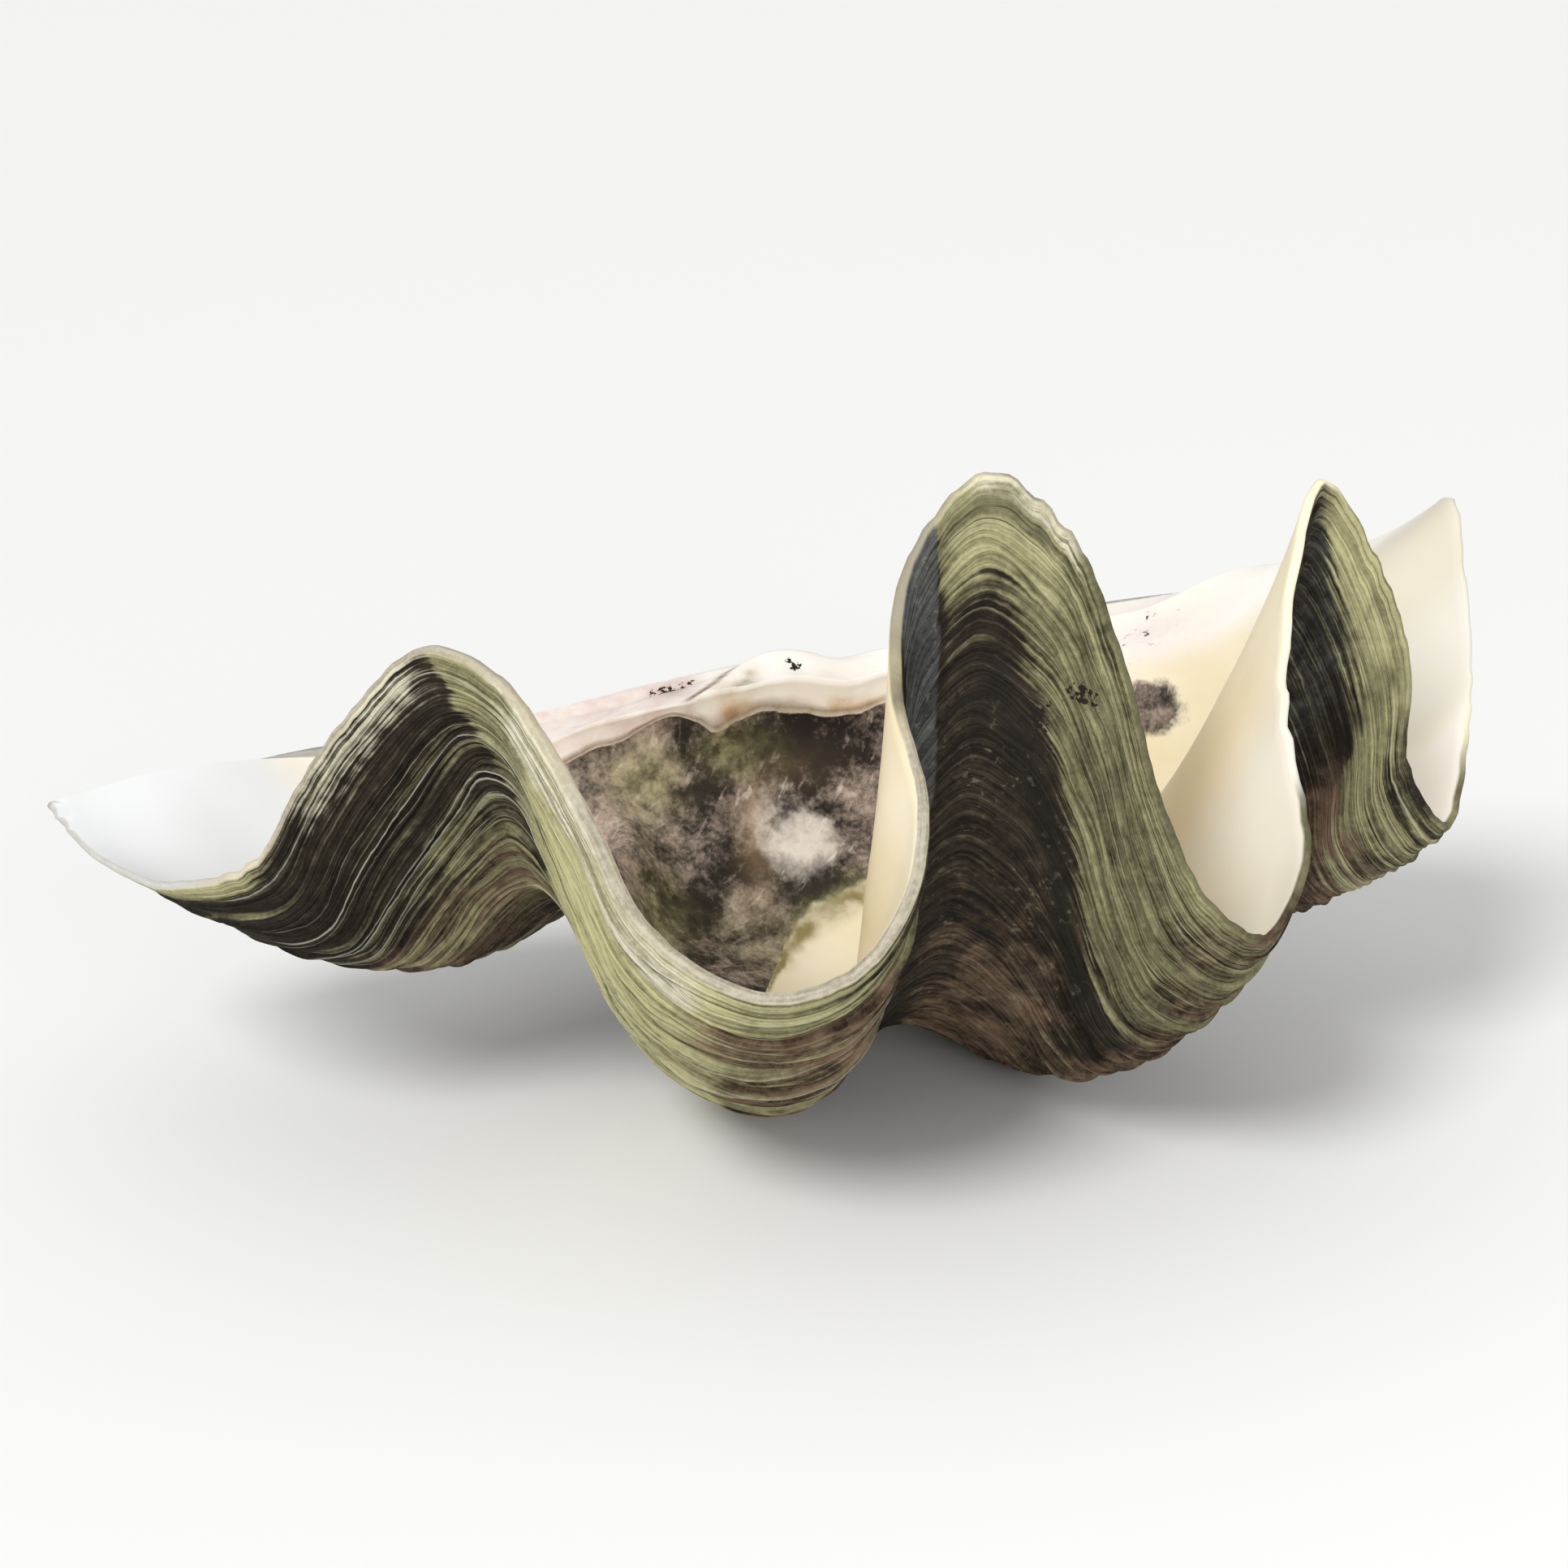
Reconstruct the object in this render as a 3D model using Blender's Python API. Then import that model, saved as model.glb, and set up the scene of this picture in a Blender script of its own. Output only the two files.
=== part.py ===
"""One valve of a giant clam, lying on its outside with the hinge at the back."""
import bmesh
import bpy
import numpy as np

# Size and thickness, metres
LIP = 0.010
FRONT_THICKNESS = ((0.55, 0.026), (0.75, 0.017), (0.90, 0.012), (1.00, LIP))
LEDGE_HEIGHT = 0.0035
TOOTH_HEIGHT = 0.012
WORN_FOOT = 0.004

# Resting attitude on its outside, degrees: right side up, front up
ROLL = 3.5
PITCH = 6

# Growth: how fast the rings turn about the hinge axis and how soon the folds grow
TURN = 0.80
TURN_LATE = 1.10
FOLD_POWER = 1.5
BEAK_SIDE = -0.05
FIRST_RING = 0.10
BOWL_RING = 0.55
EDGE_REACH = 0.14
INNER_EDGE_REACH = 0.05

# Outer edge of the folded margin from the left end round the front to the right end,
# measured from the beak: name, x, y, z
MARGIN = (
    ("left end", -0.425, -0.125, -0.015),
    ("", -0.385, -0.185, -0.035),
    ("rib 0", -0.330, -0.240, -0.040),
    ("", -0.275, -0.275, -0.020),
    ("", -0.250, -0.285, 0.015),
    ("", -0.215, -0.300, 0.055),
    ("groove 1", -0.165, -0.320, 0.090),
    ("", -0.135, -0.335, 0.075),
    ("", -0.115, -0.350, 0.045),
    ("wall 1", -0.095, -0.370, 0.005),
    ("", -0.075, -0.390, -0.040),
    ("", -0.045, -0.405, -0.067),
    ("rib 1", -0.010, -0.415, -0.080),
    ("", 0.035, -0.415, -0.070),
    ("", 0.065, -0.410, -0.035),
    ("", 0.075, -0.405, 0.005),
    ("", 0.068, -0.390, 0.065),
    ("", 0.085, -0.375, 0.130),
    ("groove 2", 0.120, -0.365, 0.157),
    ("", 0.150, -0.370, 0.130),
    ("", 0.170, -0.380, 0.070),
    ("", 0.185, -0.385, -0.010),
    ("", 0.205, -0.380, -0.062),
    ("rib 2", 0.237, -0.360, -0.090),
    ("", 0.262, -0.335, -0.065),
    ("", 0.262, -0.310, 0.015),
    ("", 0.275, -0.285, 0.080),
    ("groove 3", 0.295, -0.260, 0.120),
    ("", 0.315, -0.255, 0.075),
    ("", 0.325, -0.255, 0.020),
    ("", 0.330, -0.245, -0.035),
    ("rib 3", 0.360, -0.205, -0.085),
    ("", 0.380, -0.170, -0.035),
    ("", 0.385, -0.155, 0.035),
    ("groove 4", 0.385, -0.135, 0.080),
    ("", 0.384, -0.105, 0.062),
    ("", 0.372, -0.070, 0.040),
    ("right end", 0.348, -0.040, 0.026),
)

# The same margin without its folds
PLAIN = (
    ("left end", -0.425, -0.125, -0.015),
    ("rib 0", -0.325, -0.235, -0.005),
    ("groove 1", -0.175, -0.330, 0.000),
    ("rib 1", -0.010, -0.392, 0.005),
    ("groove 2", 0.115, -0.380, 0.015),
    ("rib 2", 0.230, -0.330, 0.020),
    ("groove 3", 0.300, -0.275, 0.020),
    ("rib 3", 0.352, -0.200, 0.020),
    ("groove 4", 0.378, -0.120, 0.024),
    ("right end", 0.348, -0.040, 0.026),
)

# Swelling of the body between beak and margin: name, sideways, down in front, down behind
BULGE = (
    ("left end", 0.000, 0.000, 0.000),
    ("rib 0", 0.000, 0.026, 0.000),
    ("groove 1", 0.000, -0.032, 0.000),
    ("wall 1", -0.018, -0.005, 0.005),
    ("rib 1", -0.018, 0.004, 0.020),
    ("groove 2", 0.004, 0.026, 0.016),
    ("rib 2", 0.000, 0.029, 0.040),
    ("groove 3", 0.000, 0.022, 0.030),
    ("rib 3", 0.000, 0.040, 0.020),
    ("groove 4", 0.000, 0.018, 0.005),
    ("right end", 0.000, 0.000, 0.000),
)

# Back edge of the valve along the hinge, left to right
HINGE_EDGE = (
    (-0.425, -0.125, -0.015),
    (-0.350, -0.085, -0.012),
    (-0.290, -0.055, -0.010),
    (-0.150, -0.030, -0.013),
    (-0.115, -0.015, -0.005),
    (-0.070, -0.005, 0.000),
    (0.000, 0.005, 0.005),
    (0.070, 0.005, 0.002),
    (0.200, 0.000, 0.020),
    (0.280, -0.016, 0.024),
    (0.348, -0.040, 0.026),
)

# Width of the hinge plate: x, width
PLATE_WIDTH = (
    (-0.425, 0.010),
    (-0.300, 0.018),
    (-0.180, 0.040),
    (-0.050, 0.050),
    (0.060, 0.040),
    (0.200, 0.026),
    (0.348, 0.010),
)

# Height of the inner floor over the unfolded growth surface: ring size, height
FLOOR = ((0.55, 0.048), (0.65, 0.034), (0.75, 0.005), (0.85, -0.045), (1.00, -0.160))

# Growth stops where an old lip stands proud
LEDGES = (0.17, 0.25, 0.34, 0.43, 0.51, 0.59, 0.665, 0.735, 0.80, 0.855, 0.905, 0.955)

# Mesh density
ACROSS = 90
INNER_RINGS = (1.0, 0.97, 0.93, 0.89, 0.85, 0.80, 0.75, 0.69, 0.62, BOWL_RING)
BACK_STEPS = 8
PLATE_STEPS = 5
CAP_STEPS = 3


def spline(points, knots, t):
    """Smooth curve through the points at the given knots."""
    p = np.asarray(points, float)
    k = np.asarray(knots, float)
    t = np.atleast_1d(np.asarray(t, float))
    h = np.diff(k)[:, None]
    slope = np.diff(p, axis=0) / h
    m = np.zeros_like(p)
    m[1:-1] = (slope[:-1] * h[1:] + slope[1:] * h[:-1]) / (h[1:] + h[:-1])
    m[0] = slope[0]
    m[-1] = slope[-1]
    i = np.clip(np.searchsorted(k, t, side="right") - 1, 0, len(p) - 2)
    step = (k[i + 1] - k[i])[:, None]
    x = (t - k[i])[:, None] / step
    from_start = (2 * x**3 - 3 * x**2 + 1) * p[i] + (x**3 - 2 * x**2 + x) * step * m[i]
    from_end = (3 * x**2 - 2 * x**3) * p[i + 1] + (x**3 - x**2) * step * m[i + 1]
    return from_start + from_end


def ease(x):
    """Smooth step from 0 to 1."""
    x = np.clip(x, 0, 1)
    return x * x * (3 - 2 * x)


def unit(v):
    """Vectors scaled to length one."""
    return v / (np.linalg.norm(v, axis=-1, keepdims=True) + 1e-12)


def look_up(table, s):
    """Straight-line lookup in a small table."""
    return np.interp(s, [row[0] for row in table], [row[1] for row in table])


def stations():
    """Place of every margin point along the margin, 0 to 1, and those of the named ones."""
    p = np.array([row[1:] for row in MARGIN])
    length = np.linalg.norm(np.diff(p, axis=0), axis=1)
    k = np.concatenate([[0.0], np.cumsum(length)])
    k = k / k[-1]
    named = {row[0]: k[i] for i, row in enumerate(MARGIN) if row[0]}
    return k, named


def on_named(table, u):
    """Smooth curve through a table whose rows are tied to named margin points."""
    named = stations()[1]
    return spline([row[1:] for row in table], [named[row[0]] for row in table], u)


def hinge_edge(x):
    """Point on the back edge at x."""
    return spline(HINGE_EDGE, [row[0] for row in HINGE_EDGE], x)


def plate_edge(x):
    """Front edge of the hinge plate at x."""
    width = spline([row[1:] for row in PLATE_WIDTH], [row[0] for row in PLATE_WIDTH], x)[:, 0]
    return hinge_edge(x) + np.stack([0 * width, -width, -0.15 * width], -1)


def pull_ends(p, u, reach, left, right):
    """Move both end columns of a surface onto given points, fading along the margin."""
    at_left = (1 - ease(u / reach))[None, :, None]
    at_right = ease((u - 1 + reach) / reach)[None, :, None]
    return p + at_left * (left - p[:, 0])[:, None] + at_right * (right - p[:, -1])[:, None]


def growth(curves, u, s):
    """Surface swept by margin curves that shrink towards the beak and turn about the hinge."""
    turn = (-TURN * np.log(s) + TURN_LATE * (1 - s))[:, None]
    c = np.cos(turn)
    n = np.sin(turn)
    v = curves * s[:, None, None]
    push = on_named(BULGE, u)
    front = (6.75 * s * s * (1 - s))[:, None]
    behind = (6.75 * s * (1 - s) ** 2)[:, None]
    x = v[..., 0] + BEAK_SIDE * (1 - s)[:, None] + push[:, 0] * front
    y = v[..., 1] * c - v[..., 2] * n
    z = v[..., 1] * n + v[..., 2] * c - push[:, 1] * front - push[:, 2] * behind
    p = np.stack([x, y, z], -1)
    return pull_ends(p, u, EDGE_REACH, hinge_edge(p[:, 0, 0]), hinge_edge(p[:, -1, 0]))


def plain_surface(u, s):
    """Growth surface without folds."""
    plain = on_named(PLAIN, u)
    return growth(np.repeat(plain[None], len(s), 0), u, s)


def folded_surface(u, s):
    """Outer face of the valve without its ledges."""
    plain = on_named(PLAIN, u)
    margin = spline([row[1:] for row in MARGIN], stations()[0], u)
    rounded = on_named([row for row in MARGIN if row[0]], u)
    sharp = ease((s - 0.55) / 0.40)[:, None, None]
    margin = rounded + sharp * (margin - rounded)
    amount = (s**FOLD_POWER)[:, None, None]
    return growth(plain + amount * (margin - plain), u, s)


def inward(surface, u, s):
    """Unit normals of a growth surface that point into the bowl."""
    e = 0.002
    along = surface(np.clip(u + e, 0, 1), s) - surface(np.clip(u - e, 0, 1), s)
    grow = surface(u, np.clip(s + e, 0, 1)) - surface(u, np.clip(s - e, 0, 1))
    normal = unit(np.cross(along, grow))
    middle = normal[-1, len(u) // 2]
    return -normal if middle[2] < 0 else normal


def outer_face(u):
    """Outer rings from the beak to the margin, with an old lip at every ledge."""
    s = [FIRST_RING]
    lift = [0.0]
    for ledge in LEDGES:
        s += [ledge, ledge + 0.008]
        lift += [LEDGE_HEIGHT * ledge, 0.0]
    s = np.array(s + [1.0])
    lift = np.array(lift + [0.0])
    fade = ease(u / 0.08) * ease((1 - u) / 0.08)
    out = -inward(folded_surface, u, s)
    p = folded_surface(u, s) + (lift[:, None] * fade[None])[..., None] * out
    return p


def inner_front(u, s):
    """Inner face from the lip to the bowl: folds sink into a smooth floor."""
    outside = folded_surface(u, s)
    plain = plain_surface(u, s)
    up = inward(plain_surface, u, s)
    even = np.polynomial.polynomial.polyfit(u, up.transpose(1, 0, 2).reshape(len(u), -1), 3)
    up = np.polynomial.polynomial.polyval(u, even).reshape(len(s), 3, len(u)).transpose(0, 2, 1)
    up = unit(up)
    wall_normal = inward(folded_surface, np.clip(u, 0.02, 0.98), s)
    wall = outside + look_up(FRONT_THICKNESS, s)[:, None, None] * wall_normal
    offset = wall - plain
    height = (offset * up).sum(-1)
    aside = offset - height[..., None] * up
    floor = look_up(FLOOR, s)[:, None] + 0 * height
    blend = np.clip(0.5 + (height - floor) / 0.06, 0, 1)
    height = floor * (1 - blend) + height * blend + 0.03 * blend * (1 - blend)
    keep = ease((s - BOWL_RING) / 0.35)[:, None, None]
    p = plain + aside * keep + height[..., None] * up
    ends = []
    for column in (0, -1):
        x = outside[:, column, 0]
        on_plate = ease((0.85 - x / MARGIN[column][1]) / 0.25)[:, None]
        ends.append(wall[:, column] * (1 - on_plate) + plate_edge(x) * on_plate)
    return pull_ends(p, u, INNER_EDGE_REACH, ends[0], ends[1])


def spread(u):
    """Share of the unfolded margin length passed at u."""
    fine = np.linspace(0, 1, 2001)
    step = np.linalg.norm(np.diff(on_named(PLAIN, fine), axis=0), axis=1)
    length = np.concatenate([[0.0], np.cumsum(step)])
    return np.interp(u, fine, length / length[-1])


def bowl_back(u):
    """Inner face from the bowl ring up the back wall to under the hinge plate."""
    ring = inner_front(u, np.array([BOWL_RING, BOWL_RING + 0.001]))
    start = ring[0]
    leave = unit(ring[0] - ring[1])
    x = start[0, 0] + (start[-1, 0] - start[0, 0]) * spread(u)
    end = plate_edge(x)
    arrive = unit(np.array([0.0, -0.45, 1.0]))
    chord = np.linalg.norm(end - start, axis=1, keepdims=True)
    q = np.linspace(0, 1, BACK_STEPS + 1)[1:, None, None]
    p = (2 * q**3 - 3 * q**2 + 1) * start + (q**3 - 2 * q**2 + q) * leave * chord * 0.7
    return p + (3 * q**2 - 2 * q**3) * end + (q**3 - q**2) * arrive * chord * 0.9


def hinge_relief(p):
    """Tooth and ligament groove on the hinge plate."""
    edge = hinge_edge(p[..., 0].ravel())[:, 1].reshape(p.shape[:-1])
    depth = edge - p[..., 1]
    tooth = np.exp(-((p[..., 0] - 0.005) / 0.045) ** 2 - ((depth - 0.022) / 0.011) ** 2)
    groove = np.exp(-((p[..., 0] + 0.085) / 0.040) ** 2 - ((depth - 0.014) / 0.006) ** 2)
    p = p.copy()
    p[..., 2] += TOOTH_HEIGHT * tooth - 0.005 * groove
    return p


def rows():
    """All rows of the closed skin, each from the left end to the right end."""
    u = np.linspace(0, 1, ACROSS + 1)
    outer = outer_face(u)
    first = outer[0]
    x = first[0, 0] + (first[-1, 0] - first[0, 0]) * spread(u)
    back = hinge_edge(x)
    q = np.linspace(0, 1, CAP_STEPS + 1)[:-1, None, None]
    cap = back * (1 - q) + first * q
    cap[..., 2] += 0.004 * np.sin(np.pi * q[..., 0]) * np.sin(np.pi * u)
    inner = inner_front(u, np.array(INNER_RINGS))
    lip = 0.5 * (outer[-1] + inner[0]) + 0.3 * LIP * unit(outer[-1] - outer[-2])
    wall = bowl_back(u)
    q = np.linspace(0, 1, PLATE_STEPS + 1)[1:-1, None, None]
    plate = hinge_relief(wall[-1] * (1 - q) + back * q)
    return cap, outer, lip[None], inner, wall, plate


def zip_faces(a, b, points):
    """Triangles between two chains of point numbers, always along the shorter diagonal."""
    faces = []
    i = 0
    j = 0
    while i < len(a) - 1 or j < len(b) - 1:
        step_a = np.inf
        step_b = np.inf
        if i < len(a) - 1:
            step_a = np.linalg.norm(points[a[i + 1]] - points[b[j]])
        if j < len(b) - 1:
            step_b = np.linalg.norm(points[a[i]] - points[b[j + 1]])
        if step_a <= step_b:
            faces.append((a[i], a[i + 1], b[j]))
            i += 1
        else:
            faces.append((a[i], b[j + 1], b[j]))
            j += 1
    return faces


def rest(p):
    """Turn the valve to its resting attitude, set it down and centre it."""
    r = np.radians(ROLL)
    q = np.radians(PITCH)
    roll = np.array([[np.cos(r), 0, -np.sin(r)], [0, 1, 0], [np.sin(r), 0, np.cos(r)]])
    pitch = np.array([[1, 0, 0], [0, np.cos(q), np.sin(q)], [0, -np.sin(q), np.cos(q)]])
    p = p @ (roll @ pitch).T
    middle = (p.min(0) + p.max(0)) / 2
    p = p - np.array([middle[0], middle[1], p[:, 2].min() + WORN_FOOT])
    p[:, 2] = np.maximum(p[:, 2], 0)
    return p


def build_valve(collection):
    """Make the closed body of the valve."""
    parts = rows()
    grid = np.concatenate(parts)
    count, width = grid.shape[:2]
    points = rest(grid.reshape(-1, 3))
    number = np.arange(count * width).reshape(count, width)
    faces = []
    for i in range(count):
        k = (i + 1) % count
        for j in range(width - 1):
            faces.append((number[i, j], number[i, j + 1], number[k, j + 1], number[k, j]))
    starts = np.cumsum([0] + [len(part) for part in parts])
    for column in (0, width - 1):
        ids = number[:, column]
        outside = [ids[0]] + list(ids[starts[1]:starts[2]])
        inside = [ids[0]] + list(ids[starts[5]:][::-1]) + list(ids[starts[3]:starts[4]][::-1])
        faces += zip_faces(outside, inside, points)
        faces.append((outside[-1], ids[starts[2]], inside[-1]))

    mesh = bpy.data.meshes.new("clam_valve")
    mesh.from_pydata(points.tolist(), [], [tuple(int(k) for k in f) for f in faces])
    skin = bmesh.new()
    skin.from_mesh(mesh)
    bmesh.ops.remove_doubles(skin, verts=skin.verts, dist=0.00005)
    bmesh.ops.triangulate(skin, faces=skin.faces)
    bmesh.ops.recalc_face_normals(skin, faces=skin.faces)
    skin.to_mesh(mesh)
    skin.free()
    valve = bpy.data.objects.new("clam_valve", mesh)
    collection.objects.link(valve)
    material = bpy.data.materials.new("shell")
    material.use_nodes = True
    shader = material.node_tree.nodes["Principled BSDF"]
    shader.inputs["Base Color"].default_value = (0.42, 0.38, 0.24, 1)
    shader.inputs["Roughness"].default_value = 0.6
    mesh.materials.append(material)
    return valve


for old in list(bpy.data.objects):
    bpy.data.objects.remove(old, do_unlink=True)
pieces = bpy.data.collections.new("giant_clam_shell")
bpy.context.scene.collection.children.link(pieces)
build_valve(pieces)
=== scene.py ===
"""One valve of a giant clam, dressed in its fine relief and its weathered colours."""

import math

import bmesh
import bpy
import numpy as np
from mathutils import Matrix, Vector, noise


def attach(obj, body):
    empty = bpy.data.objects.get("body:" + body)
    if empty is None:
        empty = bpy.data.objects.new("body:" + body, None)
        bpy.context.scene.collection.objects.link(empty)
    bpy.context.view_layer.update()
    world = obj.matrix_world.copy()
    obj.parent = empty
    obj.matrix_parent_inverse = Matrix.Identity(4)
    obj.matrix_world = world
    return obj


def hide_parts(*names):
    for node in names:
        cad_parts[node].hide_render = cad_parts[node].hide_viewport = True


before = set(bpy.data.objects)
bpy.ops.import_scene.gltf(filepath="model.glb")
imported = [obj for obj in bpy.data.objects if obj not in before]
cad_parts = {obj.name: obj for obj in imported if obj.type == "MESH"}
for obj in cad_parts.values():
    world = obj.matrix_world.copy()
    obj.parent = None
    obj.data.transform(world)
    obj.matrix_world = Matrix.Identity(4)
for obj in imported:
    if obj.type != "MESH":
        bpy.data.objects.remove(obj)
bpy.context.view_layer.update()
bpy.ops.object.select_all(action="DESELECT")


# The valve: one heavy piece of shell that grew at its lip, ring by ring.
# Its folded outer face is stepped by old lips, its inner face sinks into a smooth bowl,
# and a thick plate with a tooth runs along the hinge at the back.
LIP = 0.010
# Ring size, thickness of the wall
FRONT_THICKNESS = ((0.55, 0.026), (0.75, 0.017), (0.90, 0.012), (1.00, LIP))
LEDGE_HEIGHT = 0.0035
TOOTH_HEIGHT = 0.012
# How the valve, drawn with its hinge level, is rolled, pitched and set down at rest
ROLL = math.radians(3.5)
PITCH = math.radians(6)
REST_PLACE = (-0.02217, -0.19113, -0.20046)
# How the growing lip turns about the hinge, shrinks and loses its folds towards the beak
TURN = 0.80
TURN_LATE = 1.10
FOLD_POWER = 1.5
BEAK_SIDE = -0.05
FIRST_RING = 0.10
BOWL_RING = 0.55
EDGE_REACH = 0.14
INNER_EDGE_REACH = 0.05
# The lip's curve from the left end to the right one: name, X, Y, Z
MARGIN = (
    ("left end", -0.425, -0.125, -0.015),
    ("", -0.385, -0.185, -0.035),
    ("rib 0", -0.330, -0.240, -0.040),
    ("", -0.275, -0.275, -0.020),
    ("", -0.250, -0.285, 0.015),
    ("", -0.215, -0.300, 0.055),
    ("groove 1", -0.165, -0.320, 0.090),
    ("", -0.135, -0.335, 0.075),
    ("", -0.115, -0.350, 0.045),
    ("wall 1", -0.095, -0.370, 0.005),
    ("", -0.075, -0.390, -0.040),
    ("", -0.045, -0.405, -0.067),
    ("rib 1", -0.010, -0.415, -0.080),
    ("", 0.035, -0.415, -0.070),
    ("", 0.065, -0.410, -0.035),
    ("", 0.075, -0.405, 0.005),
    ("", 0.068, -0.390, 0.065),
    ("", 0.085, -0.375, 0.130),
    ("groove 2", 0.120, -0.365, 0.157),
    ("", 0.150, -0.370, 0.130),
    ("", 0.170, -0.380, 0.070),
    ("", 0.185, -0.385, -0.010),
    ("", 0.205, -0.380, -0.062),
    ("rib 2", 0.237, -0.360, -0.090),
    ("", 0.262, -0.335, -0.065),
    ("", 0.262, -0.310, 0.015),
    ("", 0.275, -0.285, 0.080),
    ("groove 3", 0.295, -0.260, 0.120),
    ("", 0.319, -0.255, 0.075),
    ("", 0.332, -0.255, 0.022),
    ("", 0.330, -0.245, -0.035),
    ("rib 3", 0.360, -0.205, -0.085),
    ("", 0.380, -0.170, -0.035),
    ("", 0.385, -0.155, 0.035),
    ("groove 4", 0.385, -0.135, 0.080),
    ("", 0.384, -0.105, 0.074),
    ("", 0.372, -0.070, 0.054),
    ("right end", 0.348, -0.040, 0.026),
)
# The same margin without its folds
PLAIN = (
    ("left end", -0.425, -0.125, -0.015),
    ("rib 0", -0.325, -0.235, -0.005),
    ("groove 1", -0.175, -0.330, 0.000),
    ("rib 1", -0.010, -0.392, 0.005),
    ("groove 2", 0.115, -0.380, 0.015),
    ("rib 2", 0.230, -0.330, 0.020),
    ("groove 3", 0.300, -0.275, 0.020),
    ("rib 3", 0.352, -0.200, 0.020),
    ("groove 4", 0.378, -0.120, 0.024),
    ("right end", 0.348, -0.040, 0.026),
)
# How far the face swells sideways, down near the lip and down near the beak
BULGE = (
    ("left end", 0.000, 0.000, 0.000),
    ("rib 0", 0.000, 0.026, 0.000),
    ("groove 1", 0.000, -0.032, 0.000),
    ("wall 1", -0.018, -0.005, 0.005),
    ("rib 1", -0.018, 0.004, 0.020),
    ("groove 2", 0.004, 0.026, 0.016),
    ("rib 2", 0.000, 0.029, 0.040),
    ("groove 3", 0.000, 0.022, 0.030),
    ("rib 3", 0.000, 0.040, 0.020),
    ("groove 4", 0.000, 0.018, 0.005),
    ("right end", 0.000, 0.000, 0.000),
)
HINGE_EDGE = (
    (-0.425, -0.125, -0.015),
    (-0.350, -0.085, -0.012),
    (-0.290, -0.055, -0.010),
    (-0.150, -0.030, -0.013),
    (-0.115, -0.015, -0.005),
    (-0.070, -0.005, 0.000),
    (0.000, 0.005, 0.005),
    (0.070, 0.005, 0.002),
    (0.200, 0.000, 0.020),
    (0.280, -0.016, 0.024),
    (0.348, -0.040, 0.026),
)
# X, width of the hinge plate
PLATE_WIDTH = (
    (-0.425, 0.010),
    (-0.300, 0.018),
    (-0.180, 0.040),
    (-0.050, 0.050),
    (0.060, 0.040),
    (0.200, 0.026),
    (0.348, 0.010),
)
# Ring size, height of the bowl's smooth floor over the plain face
FLOOR = ((0.55, 0.048), (0.65, 0.034), (0.75, 0.005), (0.85, -0.045), (1.00, -0.160))
# Share of the full thickness that is left at the lip
LIP_SHARE = (
    ("left end", 0.50),
    ("rib 0", 0.55),
    ("groove 1", 0.75),
    ("wall 1", 0.85),
    ("rib 1", 0.75),
    ("groove 2", 0.60),
    ("rib 2", 0.50),
    ("groove 3", 0.55),
    ("rib 3", 0.50),
    ("groove 4", 0.55),
    ("right end", 0.60),
)
# Ring sizes at which growth paused and left a ledge
LEDGES = (0.17, 0.25, 0.34, 0.43, 0.51, 0.59, 0.665, 0.735, 0.80, 0.855, 0.905, 0.955)
# How finely the skin is divided
ACROSS = 432
LIP_STEPS = 3
INNER_STEPS = 28
# X, share of the back wall's height at which the hinge plate's step begins
STAIN_EDGE = (
    (-0.400, 0.800),
    (-0.108, 0.805),
    (-0.093, 0.845),
    (-0.074, 0.890),
    (-0.040, 0.950),
    (-0.032, 0.915),
    (-0.027, 0.868),
    (-0.010, 0.880),
    (0.011, 0.893),
    (0.045, 0.850),
    (0.064, 0.857),
    (0.120, 0.890),
    (0.250, 0.940),
    (0.370, 0.960),
)
BELOW_EDGE = 15
ABOVE_EDGE = 6
PLATE_STEPS = 13
CAP_STEPS = 4


def spline(points, knots, t):
    """Smooth curve through the points at the given knots."""
    p = np.asarray(points, float)
    k = np.asarray(knots, float)
    t = np.atleast_1d(np.asarray(t, float))
    h = np.diff(k)[:, None]
    slope = np.diff(p, axis=0) / h
    m = np.zeros_like(p)
    m[1:-1] = (slope[:-1] * h[1:] + slope[1:] * h[:-1]) / (h[1:] + h[:-1])
    m[0] = slope[0]
    m[-1] = slope[-1]
    i = np.clip(np.searchsorted(k, t, side="right") - 1, 0, len(p) - 2)
    step = (k[i + 1] - k[i])[..., None]
    x = (t - k[i])[..., None] / step
    from_start = (2 * x**3 - 3 * x**2 + 1) * p[i] + (x**3 - 2 * x**2 + x) * step * m[i]
    from_end = (3 * x**2 - 2 * x**3) * p[i + 1] + (x**3 - x**2) * step * m[i + 1]
    return from_start + from_end


def ease(x):
    """Smooth step from 0 to 1."""
    x = np.clip(x, 0, 1)
    return x * x * (3 - 2 * x)


def unit(v):
    """Vectors scaled to length one."""
    return v / (np.linalg.norm(v, axis=-1, keepdims=True) + 1e-12)


def look_up(table, s):
    """Straight-line lookup in a small table."""
    return np.interp(s, [row[0] for row in table], [row[1] for row in table])


def sway(t, seed, slow, fast, waves=5):
    """Even wandering between about -1 and 1, from a few waves of chosen lengths."""
    dice = np.random.default_rng(seed)
    total = np.zeros(np.shape(t))
    for _ in range(waves):
        total = total + np.sin(2 * math.pi * (dice.uniform(slow, fast) * t + dice.uniform(0, 1)))
    return total / math.sqrt(waves)


margin_points = np.array([row[1:] for row in MARGIN])
margin_steps = np.linalg.norm(np.diff(margin_points, axis=0), axis=1)
margin_length = np.concatenate([[0.0], np.cumsum(margin_steps)])
margin_knots = margin_length / margin_length[-1]
named_place = {row[0]: margin_knots[i] for i, row in enumerate(MARGIN) if row[0]}


def on_named(table, u):
    """Smooth curve through a table whose rows are tied to named margin points."""
    return spline([row[1:] for row in table], [named_place[row[0]] for row in table], u)


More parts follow.
